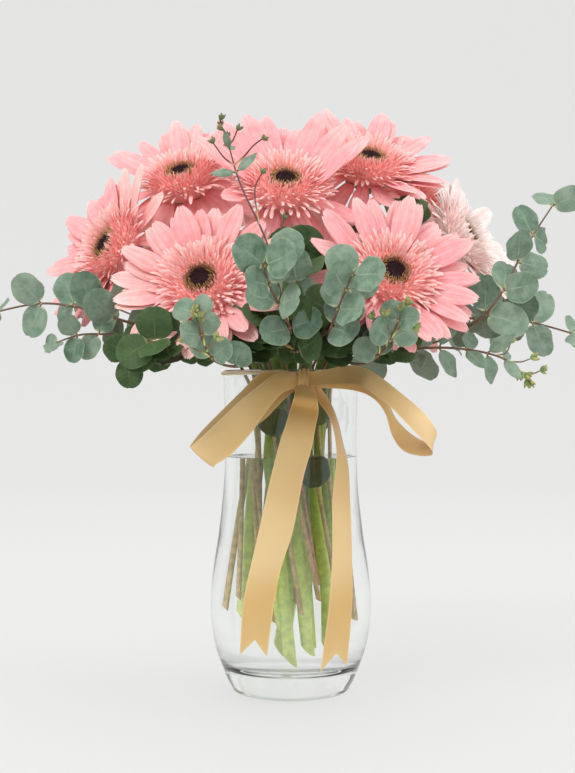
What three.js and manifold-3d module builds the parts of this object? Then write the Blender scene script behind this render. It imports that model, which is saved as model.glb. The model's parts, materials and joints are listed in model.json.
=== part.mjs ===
// Double gerberas and eucalyptus in a clear glass vase of water, tied with a satin bow.
// Units are millimetres and +Z is up. The origin is the centre of the vase's underside,
// and the front of the bunch faces -Y.

import * as THREE from 'three';
import { mergeVertices } from 'three/addons/utils/BufferGeometryUtils.js';
import Module from 'manifold-3d';

const wasm = await Module();
wasm.setup();

// Driving dimensions of the vase and water
const vaseHeight = 199;
const baseHeight = 15;
const glassWall = 2.5;
const waterLevel = 145;
const clearance = 0.3;
const vaseSides = 24;

// Outside of the glass, as radius and height
const vaseOutline = [
  [35.2, 0], [39.5, 7], [42.7, 15], [46, 24], [49.9, 48], [48, 78], [45.7, 93],
  [43.8, 108], [42.2, 123], [41.3, 138], [41.6, 180], [42.2, vaseHeight],
];

// Driving dimensions of the stems
const stalkRadius = 3.2;
const sprayRadius = 1.6;
const exitSpread = 1.5;
const exitHeight = 208;
const slotSpread = 5;
const footSpread = 1.3;
const footTurn = 60;
const gatherHeight = 188;
const budCount = 4;
const footPlane = 20;

// Driving dimensions of a gerbera head
const rayCount = 16;
const rayWidth = 14;
const rayKeel = 1.3;
const rayRoot = 12;
const coreRadius = 21;
const fringeReach = 27.5;
const fringeCount = 10;
const discRadius = 8.6;
const calyxDepth = 22;
const headGap = 0.5;
const layering = 0.5;

// Driving dimensions of the ribbon
const ribbonThickness = 0.9;
const bandBottom = 192.4;
const bandHeight = 5;
const bowHalfWidth = 70;

// How near a leaf may come to a ray, a head's core, a stem, another spray's leaf and its own spray's leaves
const leafToRay = 4.6;
const leafToCore = 27;
const leafToStem = 3.4;
const leafToOther = 5.2;
const leafToOwn = 3.6;

const materials = {
  glass: material(0xe9efec, 0.05, 0),
  water: material(0xdfe9e6, 0.05, 0),
  satin: material(0xc9a35c, 0.4, 0),
  ray: material(0xf0a0a2, 0.6, 0),
  paleRay: material(0xf3bcb4, 0.6, 0),
  disc: material(0x3a1720, 0.8, 0),
  stalk: material(0x8dab4c, 0.5, 0),
  leaf: material(0x6f8f82, 0.6, 0),
  darkLeaf: material(0x47664c, 0.5, 0),
};

function material(color, roughness, metalness) {
  return new THREE.MeshStandardMaterial({ color, roughness, metalness });
}

function radians(degrees) {
  return degrees * Math.PI / 180;
}

function vector(list) {
  return new THREE.Vector3(list[0], list[1], list[2]);
}

// The same seed always gives the same draws
function seededRandom(seed) {
  let state = seed;
  return () => {
    state = (state * 1664525 + 1013904223) % 4294967296;
    return state / 4294967296;
  };
}

// Closed geometry to a solid that can be joined and cut, and back
function toSolid(geometry) {
  const bare = geometry.clone();
  bare.deleteAttribute('normal');
  bare.deleteAttribute('uv');
  const merged = mergeVertices(bare, 1e-4);
  const mesh = new wasm.Mesh({
    numProp: 3,
    vertProperties: new Float32Array(merged.attributes.position.array),
    triVerts: new Uint32Array(merged.index.array),
  });
  return new wasm.Manifold(mesh);
}

function toGeometry(solid) {
  const mesh = solid.getMesh();
  const geometry = new THREE.BufferGeometry();
  const places = new THREE.BufferAttribute(new Float32Array(mesh.vertProperties), 3);
  geometry.setAttribute('position', places);
  geometry.setIndex(new THREE.BufferAttribute(new Uint32Array(mesh.triVerts), 1));
  geometry.computeVertexNormals();
  return geometry;
}

function joined(solids) {
  return solids.reduce((whole, solid) => whole.add(solid));
}

// Triangles between points, for the blades that no stock shape gives
function facetGeometry(points, faces) {
  const geometry = new THREE.BufferGeometry();
  const places = points.flatMap((p) => p.toArray());
  geometry.setAttribute('position', new THREE.Float32BufferAttribute(places, 3));
  geometry.setIndex(faces.flat());
  return geometry;
}

function latheGeometry(outline, sides) {
  const profile = outline.map(([r, z]) => new THREE.Vector2(r, z));
  return new THREE.LatheGeometry(profile, sides).rotateX(Math.PI / 2);
}

// A path whose extruded rings fall on its own points
class RingPath extends THREE.Curve {
  constructor(points) {
    super();
    this.points = points;
  }

  getPoint(t) {
    const place = t * (this.points.length - 1);
    const first = Math.min(Math.floor(place), this.points.length - 2);
    return this.points[first].clone().lerp(this.points[first + 1], place - first);
  }

  getUtoTmapping(u) {
    return u;
  }
}

function stemGeometry(points, radius, sides) {
  const corners = Array.from({ length: sides }, (_, i) => {
    const angle = 2 * Math.PI * i / sides;
    return new THREE.Vector2(radius * Math.cos(angle), radius * Math.sin(angle));
  });
  return new THREE.ExtrudeGeometry(new THREE.Shape(corners), {
    steps: points.length - 1,
    bevelEnabled: false,
    extrudePath: new RingPath(points),
  });
}

// Vase and water

function innerRadius(height) {
  const index = Math.max(1, vaseOutline.findIndex(([, z]) => z >= height));
  const [r0, z0] = vaseOutline[index - 1];
  const [r1, z1] = vaseOutline[index];
  return r0 + (r1 - r0) * (height - z0) / (z1 - z0) - glassWall;
}

function vaseGeometry() {
  const inside = [180, 138, 108, 78, 48, 32, 24].map((z) => [innerRadius(z), z]);
  const lip = [[vaseOutline.at(-1)[0] - glassWall, vaseHeight]];
  const floor = [[33.5, baseHeight + 2], [24, baseHeight], [0, baseHeight]];
  return latheGeometry([[0, 0], ...vaseOutline, ...lip, ...inside, ...floor, [0, 0]], vaseSides);
}

// The water keeps clear of the glass all round and has a plain hole round each stem
function waterGeometry(stems) {
  const bottom = baseHeight + clearance;
  const side = [32, 48, 78, 108, 138, waterLevel].map((z) => [innerRadius(z) - clearance, z]);
  const outline = [
    [0, bottom], [23.9, bottom], [33.2, bottom + 2.1], [innerRadius(24) - 0.4, 24.3],
    ...side, [0, waterLevel], [0, bottom],
  ];
  let solid = toSolid(latheGeometry(outline, vaseSides));
  for (const stem of stems) {
    const [foot, neck] = stem.points;
    const below = foot.clone().addScaledVector(neck.clone().sub(foot).normalize(), -0.5);
    const hole = stemGeometry([below, neck], stem.radius + clearance + 0.1, stem.sides);
    solid = solid.subtract(toSolid(hole));
  }
  return toGeometry(solid);
}

// Stems: each takes the free slot at the neck that is nearest to the way it leans

const slots = Array.from({ length: 30 }, (_, k) => {
  const radius = slotSpread * Math.sqrt(k + 0.5);
  const angle = radians(137.508 * k);
  return { x: radius * Math.cos(angle), y: radius * Math.sin(angle), free: true };
});

function takeSlot(target, share, limit) {
  const reach = Math.hypot(target.x, target.y);
  const lean = Math.min(share, limit / reach);
  let best = null;
  for (const slot of slots) {
    slot.distance = Math.hypot(slot.x - target.x * lean, slot.y - target.y * lean);
    if (slot.free && (!best || slot.distance < best.distance)) best = slot;
  }
  best.free = false;
  return best;
}

// The straight run from the cut end in the water to the neck, and the fanned place above the rim
function lowerRun(slot, footHeight) {
  const turn = radians(footTurn);
  const foot = new THREE.Vector3(
    footSpread * (slot.x * Math.cos(turn) - slot.y * Math.sin(turn)),
    footSpread * (slot.x * Math.sin(turn) + slot.y * Math.cos(turn)),
    footPlane,
  );
  const neck = new THREE.Vector3(slot.x, slot.y, gatherHeight);
  foot.lerp(neck, (footHeight - footPlane) / (gatherHeight - footPlane));
  return [foot, neck, new THREE.Vector3(exitSpread * slot.x, exitSpread * slot.y, exitHeight)];
}

// Gerbera heads: where each sits, which way it faces and how far its rays reach.
// turn swings it to the right of the front, up tips it to the sky, and a higher rank lies over a lower one.

const blooms = [
  { name: 'front_left', at: [-50.6, -78, 248], turn: -12, up: 28, reach: 53, rank: 10, foot: 30 },
  { name: 'left', at: [-108.4, -35, 272.3], turn: -52, up: 22, reach: 54, rank: 6, foot: 24 },
  { name: 'top_left', at: [-67, -12, 318], turn: -18, up: 52, reach: 57, rank: 5, foot: 44 },
  { name: 'top_centre', at: [-3.5, -45, 308.6], turn: 4, up: 46, reach: 61, rank: 8, foot: 34 },
  { name: 'top_right', at: [49, 0, 329], turn: 14, up: 52, reach: 54, rank: 7, foot: 50 },
  { name: 'back_right', at: [84, 86, 257], turn: 135, up: 28, reach: 50, rank: 0, foot: 26 },
  { name: 'right_pale', at: [107, -2, 282], turn: 62, up: 28, reach: 56, rank: 4, foot: 28, pale: true },
  { name: 'front_right', at: [57.5, -75, 252.5], turn: 15, up: 30, reach: 55, rank: 9, foot: 32 },
  { name: 'back_left', at: [-72, 62, 300], turn: -130, up: 50, reach: 50, rank: 2, foot: 46 },
  { name: 'back', at: [0, 75, 288], turn: 180, up: 35, reach: 52, rank: 1, foot: 36 },
  { name: 'behind_right', at: [80, 56, 317], turn: 100, up: 60, reach: 46, rank: 3, foot: 38 },
];

function setFrame(bloom) {
  const turn = radians(bloom.turn);
  const tip = radians(bloom.up);
  bloom.centre = vector(bloom.at);
  bloom.facing = new THREE.Vector3(Math.sin(turn), -Math.cos(turn), 0).multiplyScalar(Math.cos(tip));
  bloom.facing.z = Math.sin(tip);
  bloom.side = new THREE.Vector3(Math.cos(turn), Math.sin(turn), 0);
  bloom.rise = bloom.facing.clone().cross(bloom.side);
}

function fromBloom(bloom, x, y, height) {
  return bloom.centre.clone().addScaledVector(bloom.side, x).addScaledVector(bloom.rise, y)
    .addScaledVector(bloom.facing, height);
}

// How far a head's core reaches along a direction
function coreReach(bloom, direction) {
  const along = direction.dot(bloom.facing);
  const across = Math.sqrt(Math.max(0, 1 - along * along));
  return direction.dot(bloom.centre) + fringeReach * across + Math.max(12 * along, -15 * along);
}

// A plane between each two neighbours keeps their rays apart: both stay on their own side of it
function setPlanes(bloom) {
  bloom.planes = [];
  for (const other of blooms) {
    const apart = bloom.centre.clone().sub(other.centre);
    if (other === bloom || apart.length() > bloom.reach + other.reach + 8) continue;
    const lean = bloom.facing.clone().add(other.facing).normalize();
    const over = bloom.rank > other.rank;
    const normal = apart.normalize().addScaledVector(lean, over ? layering : -layering).normalize();
    const ownEdge = -coreReach(bloom, normal.clone().negate());
    const otherEdge = coreReach(other, normal);
    bloom.planes.push({ normal, over, offset: (ownEdge + otherEdge) / 2 });
  }
}

// One ray's middle line: it leaves the core at its own angle and bends down a little towards the tip
function rayPoint(ray, s) {
  const slope = radians(ray.lift - ray.bend * s * 0.5);
  return {
    out: rayRoot + ray.length * s * Math.cos(slope),
    height: ray.base + ray.length * s * Math.sin(slope),
  };
}

// A ray widens from its narrow root to its widest place, then rounds off to a blunt tip
function rayHalfWidth(ray, s) {
  const [root, widest, rounding] = [0.3, 0.55, 0.47];
  if (s < widest) return ray.width / 2 * (root + (1 - root) * s / widest);
  return ray.width / 2 * Math.sqrt(Math.max(0, 1 - ((s - widest) / rounding) ** 2));
}

function onRay(bloom, ray, s, across) {
  const { out, height } = rayPoint(ray, s);
  const wide = rayHalfWidth(ray, s) * across;
  const x = out * Math.cos(ray.angle) - wide * Math.sin(ray.angle);
  const y = out * Math.sin(ray.angle) + wide * Math.cos(ray.angle);
  return fromBloom(bloom, x, y, height);
}

// The plane that a ray reaches furthest past, if any
function worstPlane(bloom, ray) {
  let worst = null;
  let depth = 0;
  for (const s of [0.4, 0.6, 0.8, 0.92, 1]) {
    for (const across of [-1, 0, 1]) {
      const point = onRay(bloom, ray, s, across);
      for (const plane of bloom.planes) {
        const past = plane.offset + headGap - plane.normal.dot(point);
        if (past > depth) {
          depth = past;
          worst = plane;
        }
      }
    }
  }
  return worst;
}

function setRays(bloom, seed) {
  const random = seededRandom(seed);
  bloom.rays = [];
  for (let i = 0; i < rayCount; i++) {
    const upper = i % 2 === 1;
    const ray = {
      angle: 2 * Math.PI * (i + 0.3 * (random() - 0.5)) / rayCount,
      lift: (upper ? 28 : 15) + 6 * (random() - 0.5),
      bend: 6 + 10 * random(),
      base: upper ? -6.3 : -7.4,
      length: (bloom.reach - rayRoot) * (0.94 + 0.1 * random()),
      width: rayWidth * (0.92 + 0.16 * random()) * bloom.reach / 54,
    };
    fitRay(bloom, ray);
    bloom.rays.push(ray);
  }
}

// A ray with a neighbour in its way rises over a lower head or sinks under a higher one, and if that
// isn't enough it grew shorter
function fitRay(bloom, ray) {
  const lift = ray.lift;
  const [mostCuts, cut, mostSteps, step] = [7, 0.88, 9, 6];
  const plane = worstPlane(bloom, ray);
  if (!plane) return;
  const sign = plane.over ? 1 : -1;
  for (let cuts = 0; cuts < mostCuts; cuts++) {
    for (let steps = 1; steps <= mostSteps; steps++) {
      ray.lift = lift + sign * steps * step;
      if (!worstPlane(bloom, ray)) return;
    }
    ray.length *= cut;
  }
}

// A ray is a keeled blade: two edges and a keel under the middle
function rayGeometry(bloom, ray) {
  const points = [];
  for (const s of [0, 0.5, 0.86]) {
    const keel = onRay(bloom, ray, s, 0).addScaledVector(bloom.facing, -rayKeel);
    points.push(onRay(bloom, ray, s, -1), onRay(bloom, ray, s, 1), keel);
  }
  points.push(onRay(bloom, ray, 1, 0));
  const faces = [[0, 1, 2]];
  for (const i of [0, 3]) {
    faces.push([i, i + 4, i + 1], [i, i + 3, i + 4]);
    faces.push([i + 1, i + 5, i + 2], [i + 1, i + 4, i + 5]);
    faces.push([i + 2, i + 3, i], [i + 2, i + 5, i + 3]);
  }
  faces.push([6, 9, 7], [7, 9, 8], [8, 9, 6]);
  return facetGeometry(points, faces);
}

function placeOn(bloom, geometry) {
  const matrix = new THREE.Matrix4().makeBasis(bloom.side, bloom.rise, bloom.facing);
  return geometry.applyMatrix4(matrix.setPosition(bloom.centre));
}

// The core and its fringe in one mesh. Rings of corners run from the underside over the rim and down into
// the recess of the disc, and on the two bands outside the recess each triangle carries a pointed floret.
function coreGeometry() {
  const rings = [
    [11, -12], [coreRadius, -7], [coreRadius, 0], [15, 3.5], [discRadius + clearance, 4.5],
    [discRadius + clearance, -1],
  ];
  const florets = { 2: [[fringeReach, 8], [23, 12]], 3: [[18.5, 13], [13.5, 12.5]] };
  const at = (radius, height, turn) => {
    const angle = 2 * Math.PI * turn / fringeCount;
    return new THREE.Vector3(radius * Math.cos(angle), radius * Math.sin(angle), height);
  };
  const points = rings.flatMap(([radius, height], k) => (
    Array.from({ length: fringeCount }, (_, i) => at(radius, height, i + k / 2))
  ));
  const faces = [];
  const addFace = (k, corners, tip) => {
    if (!florets[k]) {
      faces.push(corners);
      return;
    }
    const [a, b, c] = corners;
    const apex = points.push(tip) - 1;
    faces.push([a, b, apex], [b, c, apex], [c, a, apex]);
  };
  for (let k = 0; k < rings.length - 1; k++) {
    for (let i = 0; i < fringeCount; i++) {
      const next = (i + 1) % fringeCount;
      const [a, b] = [k * fringeCount + i, k * fringeCount + next];
      const [c, d] = [(k + 1) * fringeCount + i, (k + 1) * fringeCount + next];
      const [low, high] = florets[k] || [[0, 0], [0, 0]];
      addFace(k, [a, b, c], at(low[0], low[1], i + k / 2 + 0.5));
      addFace(k, [b, d, c], at(high[0], high[1], i + k / 2 + 1));
    }
  }
  const under = points.push(new THREE.Vector3(0, 0, rings[0][1])) - 1;
  const seat = points.push(new THREE.Vector3(0, 0, rings.at(-1)[1])) - 1;
  const last = (rings.length - 1) * fringeCount;
  for (let i = 0; i < fringeCount; i++) {
    const next = (i + 1) % fringeCount;
    faces.push([under, next, i], [seat, last + i, last + next]);
  }
  return facetGeometry(points, faces);
}

function headGeometry(bloom) {
  const solids = [toSolid(placeOn(bloom, coreGeometry()))];
  for (const ray of bloom.rays) solids.push(toSolid(rayGeometry(bloom, ray)));
  return toGeometry(joined(solids));
}

function discGeometry(bloom) {
  const seat = -0.7;
  const outline = [[0, seat], [discRadius - 0.4, seat], [discRadius - 0.2, 3.5], [5.2, 6], [0, 5], [0, seat]];
  return placeOn(bloom, latheGeometry(outline, 9));
}

function calyxGeometry(bloom) {
  const top = -12.3;
  const bottom = -calyxDepth;
  const outline = [[0, bottom], [stalkRadius + 0.8, bottom], [10.5, top], [0, top], [0, bottom]];
  return placeOn(bloom, latheGeometry(outline, 8));
}

// A stalk runs straight to the neck, then curves to meet its head square on
function stalkPoints(bloom) {
  const end = fromBloom(bloom, 0, 0, -calyxDepth + 3);
  const [foot, neck, exit] = lowerRun(takeSlot(end, 0.2, 17), bloom.foot);
  const rise = exit.clone().sub(neck).normalize();
  const span = end.distanceTo(exit);
  const curve = new THREE.CubicBezierCurve3(
    exit,
    exit.clone().addScaledVector(rise, span * 0.3),
    end.clone().addScaledVector(bloom.facing, -span * 0.38),
    end,
  );
  return [foot, neck, ...[0, 0.25, 0.5, 0.75, 1].map((t) => curve.getPoint(t))];
}

// Eucalyptus: each spray's route outside the vase, the places of its leaf pairs along it, counted in route
// points, the leaf length from first to last, the way the leaves look and the roll of the first pair.

const front = [0, -1, 0.25];
const sprays = [
  { name: 'top_twig', route: [[-5, -106, 234], [-13, -115, 266], [-28, -101, 300], [-34, -95, 320],
      [-40, -91, 338]],
    pairs: [3.3, 4], leaf: [15, 13], look: front, roll: 10, foot: 68, narrow: true, buds: 4.4 },
  { name: 'low_centre', route: [[0, -70, 209], [4, -92, 208]],
    pairs: [0.7, 1.3, 2], leaf: [24, 20], look: front, roll: 0, foot: 70, dark: true },
  { name: 'front_middle_left', route: [[0, -90, 217], [-7, -116, 233], [-14, -123, 249], [-12, -125, 262]],
    pairs: [1.3, 2, 2.6, 3.3, 4], leaf: [19, 25], look: front, roll: 20, foot: 60 },
  { name: 'front_middle_right', route: [[20, -88, 214], [23, -114, 225], [28, -122, 238], [33, -125, 249]],
    pairs: [1, 1.7, 2.4, 3.2, 4], leaf: [20, 25], look: front, roll: -30, foot: 40 },
  { name: 'front_right_budded', route: [[38, -90, 201], [50, -110, 208], [56, -117, 220], [62, -117, 234]],
    pairs: [0.9, 1.7, 2.5, 3.3], leaf: [20, 15], look: front, roll: 10, foot: 66, buds: 3.4 },
  { name: 'front_left_budded', route: [[-29, -88, 200], [-42, -117, 203], [-48, -126, 216], [-51, -128, 229]],
    pairs: [1.2, 2.1, 3, 4], leaf: [18, 13], look: front, roll: 30, foot: 52, buds: 3.5 },
  { name: 'left_dark', route: [[-48, -58, 205], [-66, -74, 208], [-82, -82, 209], [-92, -83, 205]],
    pairs: [1.2, 2, 3, 4], leaf: [22, 20], look: [-0.3, -1, 0.2], roll: 40, foot: 48, dark: true },
  { name: 'left_low', route: [[-65, -46, 213], [-97, -58, 218], [-120, -62, 219], [-136, -64, 214]],
    pairs: [1.4, 2, 2.6, 3.2, 4], leaf: [21, 15], look: [-0.2, -1, 0.2], roll: 60, foot: 36 },
  { name: 'left_long', route: [[-68, -50, 219], [-98, -66, 227], [-120, -66, 234], [-145, -60, 237],
      [-170, -54, 233], [-184, -50, 229]],
    pairs: [2.6, 3.1, 4, 5, 6], leaf: [26, 20], look: [-0.2, -1, 0.2], roll: 70, foot: 56 },
  { name: 'right_low', route: [[64, -62, 210], [90, -68, 211], [113, -66, 208], [128, -62, 202],
      [139, -60, 191]],
    pairs: [1.2, 1.8, 2.4, 3, 3.6], leaf: [20, 13], look: [0.2, -1, 0.2], roll: 50, foot: 44,
    narrow: true, buds: 4.4 },
  { name: 'right_long', route: [[79, -26, 221], [109, -28, 230], [141, -20, 229], [171, -14, 222],
      [187, -10, 217]],
    pairs: [2, 2.6, 3.2, 4, 5], leaf: [26, 22], look: [0.2, -1, 0.2], roll: 75, foot: 62 },
  { name: 'right_high', route: [[64, -34, 217], [104, -56, 224], [121, -64, 242], [132, -57, 261],
      [143, -46, 278], [157, -38, 298]],
    pairs: [2.4, 3.1, 4, 5, 6], leaf: [26, 19], look: [0.2, -1, 0.1], roll: 20, foot: 54 },
  { name: 'middle_dark', route: [[30, -6, 245], [52, -20, 275], [66, -26, 297]],
    pairs: [1, 2, 3], leaf: [24, 24], look: [0.1, -1, 0.5], roll: 0, foot: 46, dark: true },
  { name: 'back_left', route: [[-62, 52, 222], [-104, 62, 236], [-132, 64, 248]],
    pairs: [1, 1.7, 2.4, 3], leaf: [25, 20], look: [-0.4, 0.9, 0.3], roll: 30, foot: 58 },
  { name: 'back_middle', route: [[-24, 74, 222], [-42, 100, 240], [-48, 112, 258]],
    pairs: [1, 1.7, 2.4, 3], leaf: [25, 20], look: [0, 1, 0.3], roll: 0, foot: 50 },
  { name: 'back_right', route: [[50, 78, 214], [62, 116, 224], [66, 134, 238]],
    pairs: [1, 1.7, 2.4, 3], leaf: [25, 20], look: [0.4, 0.9, 0.3], roll: 50, foot: 42 },
  { name: 'back_low', route: [[78, 36, 214], [112, 46, 224], [140, 44, 236]],
    pairs: [1, 1.7, 2.4, 3], leaf: [25, 20], look: [0.8, 0.5, 0.2], roll: 20, foot: 38 },
];

function sprayPoints(spray, endPlace) {
  const [foot, neck, exit] = lowerRun(spray.slot, spray.foot);
  const outer = [neck, exit, ...spray.route.map(vector)];
  spray.curve = new THREE.CatmullRomCurve3(outer, false, 'catmullrom', 0.5);
  spray.atPlace = (place) => spray.curve.getPoint((place + 1) / (outer.length - 1));
  const places = new Set([0, 0.5, ...spray.pairs]);
  for (let place = 1; place <= endPlace; place++) places.add(place);
  const sorted = [...places].sort((a, b) => a - b);
  const apart = 0.35;
  const kept = sorted.filter((place, i) => spray.pairs.includes(place) || i === 0
    || sorted.every((p) => p === place || Math.abs(p - place) > apart));
  return [foot, neck, ...kept.map(spray.atPlace)];
}

// A leaf's frame: the way it points, its face and its side
function leafFrame(spray, place, roll, open) {
  const t = (place + 1) / (spray.route.length + 1);
  const tangent = spray.curve.getTangent(Math.min(t, 0.999));
  const look = vector(spray.look).normalize();
  const side = tangent.clone().cross(look).normalize();
  const away = side.clone().cross(tangent).normalize();
  const outward = side.multiplyScalar(Math.cos(roll)).addScaledVector(away, Math.sin(roll));
  const along = outward.multiplyScalar(Math.sin(open)).addScaledVector(tangent, Math.cos(open)).normalize();
  const face = look.clone().addScaledVector(along, -look.dot(along));
  if (face.length() < 0.35) {
    const bend = 0.6;
    face.addScaledVector(tangent, -bend).addScaledVector(along, bend * tangent.dot(along));
  }
  face.normalize();
  const root = spray.atPlace(Math.min(place, spray.route.length - 0.08));
  return { root, along, face, side: face.clone().cross(along) };
}

// Half width of a leaf along its length, as a share of the length
const roundLeaf = [[0, 0], [0.32, 0.38], [0.78, 0.42], [1, 0]];
const narrowLeaf = [[0, 0], [0.35, 0.19], [0.7, 0.17], [1, 0]];

function leafPoint(leaf, along, side, height) {
  return leaf.root.clone().addScaledVector(leaf.along, along * leaf.size)
    .addScaledVector(leaf.side, side * leaf.size).addScaledVector(leaf.face, height);
}

function leafSamples(leaf) {
  const samples = [];
  for (const along of [0.3, 0.55, 0.8, 1]) {
    for (const side of leaf.narrow ? [0] : [-0.4, 0, 0.4]) {
      samples.push(leafPoint(leaf, along, along === 1 ? side * 0.4 : side, 0));
    }
  }
  return samples;
}

function leafGeometry(leaf) {
  const shape = leaf.narrow ? narrowLeaf : roundLeaf;
  const rim = shape.map(([along, side]) => leafPoint(leaf, along, side, 0));
  const otherSide = shape.slice(1, -1).reverse().map(([along, side]) => leafPoint(leaf, along, -side, 0));
  const points = [...rim, ...otherSide, leafPoint(leaf, 0.55, 0, -0.1), leafPoint(leaf, 0.55, 0, -1.3)];
  const count = points.length - 2;
  const faces = [];
  for (let i = 0; i < count; i++) {
    const next = (i + 1) % count;
    faces.push([next, i, count], [i, next, count + 1]);
  }
  return facetGeometry(points, faces);
}

// What a leaf must stay clear of: rays, stems and the leaves of other sprays, as points with a reach
const obstacles = [];

function isClear(spray, points) {
  return points.every((point) => {
    if (point.z < vaseHeight + 4 && Math.hypot(point.x, point.y) < 47) return false;
    if (point.z < vaseHeight + 2 && point.y < 0 && Math.abs(point.x) < bowHalfWidth) return false;
    return obstacles.every((o) => o.owner === spray || o.point.distanceTo(point) > o.reach)
      && spray.grown.every((sample) => sample.distanceTo(point) > leafToOwn);
  });
}

// Each leaf is turned round its stem until it hangs clear, and a leaf with no room is left off
function growLeaves(spray, seed) {
  const random = seededRandom(seed);
  spray.leaves = [];
  spray.grown = [];
  spray.pairs.forEach((place, i) => {
    const share = i / (spray.pairs.length - 1);
    const size = spray.leaf[0] + (spray.leaf[1] - spray.leaf[0]) * share;
    for (const half of [0, 180]) {
      const roll = spray.roll + half + 90 * i * (spray.narrow ? 1 : 0.6) + 16 * (random() - 0.5);
      const open = 62 + 14 * (random() - 0.5);
      const leafSize = size * (0.92 + 0.16 * random());
      const leaf = clearLeaf(spray, place, roll, open, leafSize);
      if (!leaf) continue;
      spray.leaves.push(leaf);
      spray.grown.push(...leafSamples(leaf));
    }
  });
  for (const point of spray.grown) obstacles.push({ point, owner: spray, reach: leafToOther });
}

function clearLeaf(spray, place, roll, open, size) {
  for (const scale of [1, 0.8]) {
    for (const fold of [0, -22, 22, 44]) {
      for (const turn of [0, 20, -20, 40, -40, 60, -60, 80, -80]) {
        const frame = leafFrame(spray, place, radians(roll + turn), radians(open + fold));
        const leaf = { ...frame, size: size * scale, narrow: spray.narrow };
        if (isClear(spray, leafSamples(leaf))) return leaf;
      }
    }
  }
  return null;
}

// Buds sit close on a budded twig's tip
function budGeometry(spray, place, turn) {
  const [budRadius, budOffset] = [2.2, 1.9];
  const frame = leafFrame(spray, place, radians(turn), radians(70));
  const middle = frame.root.clone().addScaledVector(frame.along, budOffset);
  return new THREE.OctahedronGeometry(budRadius, 0).translate(middle.x, middle.y, middle.z);
}

function sprayGeometry(spray) {
  const solids = [toSolid(stemGeometry(spray.points, spray.radius, spray.sides))];
  for (const leaf of spray.leaves) solids.push(toSolid(leafGeometry(leaf)));
  if (spray.buds) {
    const last = spray.route.length;
    for (let i = 0; i < budCount; i++) {
      const place = spray.buds + i * (last - spray.buds) / (budCount - 1);
      solids.push(toSolid(budGeometry(spray, place, i * 137)));
    }
  }
  return toGeometry(joined(solids));
}

// Ribbon: a band round the neck, a knot, two loops and two tails

// A strip of satin between two edge lines, given as pairs of points across its width
function stripGeometry(pairs) {
  const rows = pairs.map(([a, b]) => [vector(a), vector(b)]);
  const points = [];
  rows.forEach(([a, b], i) => {
    const before = rows[Math.max(0, i - 1)];
    const after = rows[Math.min(rows.length - 1, i + 1)];
    const along = after[0].clone().add(after[1]).sub(before[0]).sub(before[1]).normalize();
    const normal = b.clone().sub(a).cross(along).normalize().multiplyScalar(ribbonThickness / 2);
    points.push(a.clone().add(normal), b.clone().add(normal), b.clone().sub(normal), a.clone().sub(normal));
  });
  const faces = [[0, 2, 1], [0, 3, 2]];
  for (let i = 0; i < rows.length - 1; i++) {
    const k = i * 4;
    faces.push([k, k + 1, k + 5], [k, k + 5, k + 4], [k + 1, k + 2, k + 6], [k + 1, k + 6, k + 5]);
    faces.push([k + 3, k + 6, k + 2], [k + 3, k + 7, k + 6], [k + 3, k, k + 4], [k + 3, k + 4, k + 7]);
  }
  const e = (rows.length - 1) * 4;
  faces.push([e, e + 1, e + 2], [e, e + 2, e + 3]);
  return facetGeometry(points, faces);
}

const leftLoop = [
  [[6, -49, 197], [6, -50, 188]], [[-9, -60, 196], [-5, -61, 185]], [[-19, -66, 189], [-16, -68, 172]],
  [[-30, -69, 180], [-23, -70, 162]], [[-49, -68, 162], [-34, -69, 150]], [[-57, -66, 155], [-43, -67, 144]],
  [[-58, -63, 155], [-44, -64, 143]], [[-50, -60, 165], [-33, -61, 157]], [[-29, -57, 186], [-16, -58, 169]],
  [[-19, -54, 196], [-9, -55, 176]], [[-9, -51, 198], [-2, -52, 183]], [[4, -48, 197], [5, -48, 188]],
];
const rightLoop = [
  [[9, -50, 197], [9, -51, 189]], [[22, -60, 199], [24, -60, 189]], [[35, -67, 201], [36, -67, 189]],
  [[47, -71, 197], [43, -71, 187]], [[63, -71, 185], [54, -72, 179]], [[77, -69, 173], [67, -70, 166]],
  [[84, -66, 162], [80, -67, 152]], [[79, -61, 158], [75, -61, 149]], [[67, -56, 165], [66, -56, 153]],
  [[58, -53, 174], [58, -53, 163]], [[50, -50, 182], [52, -51, 174]], [[34, -49, 189], [34, -49, 182]],
  [[11, -48, 195], [11, -48, 187]],
];
const leftTail = [
  [[3, -50, 192], [12, -50, 192]], [[2, -58, 184], [16, -59, 180]], [[-2, -61, 171], [15, -61, 167]],
  [[-7, -60, 155], [12, -60, 153]], [[-12, -59, 135], [7, -59, 135]], [[-19, -57, 104], [1, -57, 104]],
  [[-24, -56, 82], [-6, -56, 82]], [[-28, -56, 62], [-10, -56, 62]], [[-30, -56, 36], [-14, -56, 34]],
];
const rightTail = [
  [[8, -48, 192], [14, -48, 193]], [[16, -54, 180], [23, -52, 180]], [[23, -59, 169], [28, -55, 168]],
  [[26, -61, 155], [31, -55, 155]], [[26, -60, 142], [34, -55, 142]], [[24, -59, 122], [35, -54, 122]],
  [[24, -58, 92], [36, -54, 92]], [[22, -58, 62], [36, -55, 62]], [[18, -58, 27], [33, -56, 29]],
];

function ribbonGeometry() {
  const bandInner = vaseOutline.at(-1)[0] + clearance;
  const bandOuter = bandInner + 1.4;
  const bandTop = bandBottom + bandHeight;
  const band = latheGeometry([
    [bandInner, bandBottom], [bandOuter, bandBottom], [bandOuter, bandTop], [bandInner, bandTop],
    [bandInner, bandBottom],
  ], vaseSides);
  const knot = new THREE.SphereGeometry(1, 8, 5);
  knot.scale(8.5, 6.5, 6.8).translate(8, -46.8, 192);
  const neck = latheGeometry([
    [0, 180], [bandInner, 180], [bandInner, vaseHeight], [0, vaseHeight], [0, 180],
  ], vaseSides);
  const strips = [leftLoop, rightLoop, leftTail, rightTail].map((pairs) => toSolid(stripGeometry(pairs)));
  return toGeometry(joined([toSolid(band), toSolid(knot).subtract(toSolid(neck)), ...strips]));
}

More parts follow.
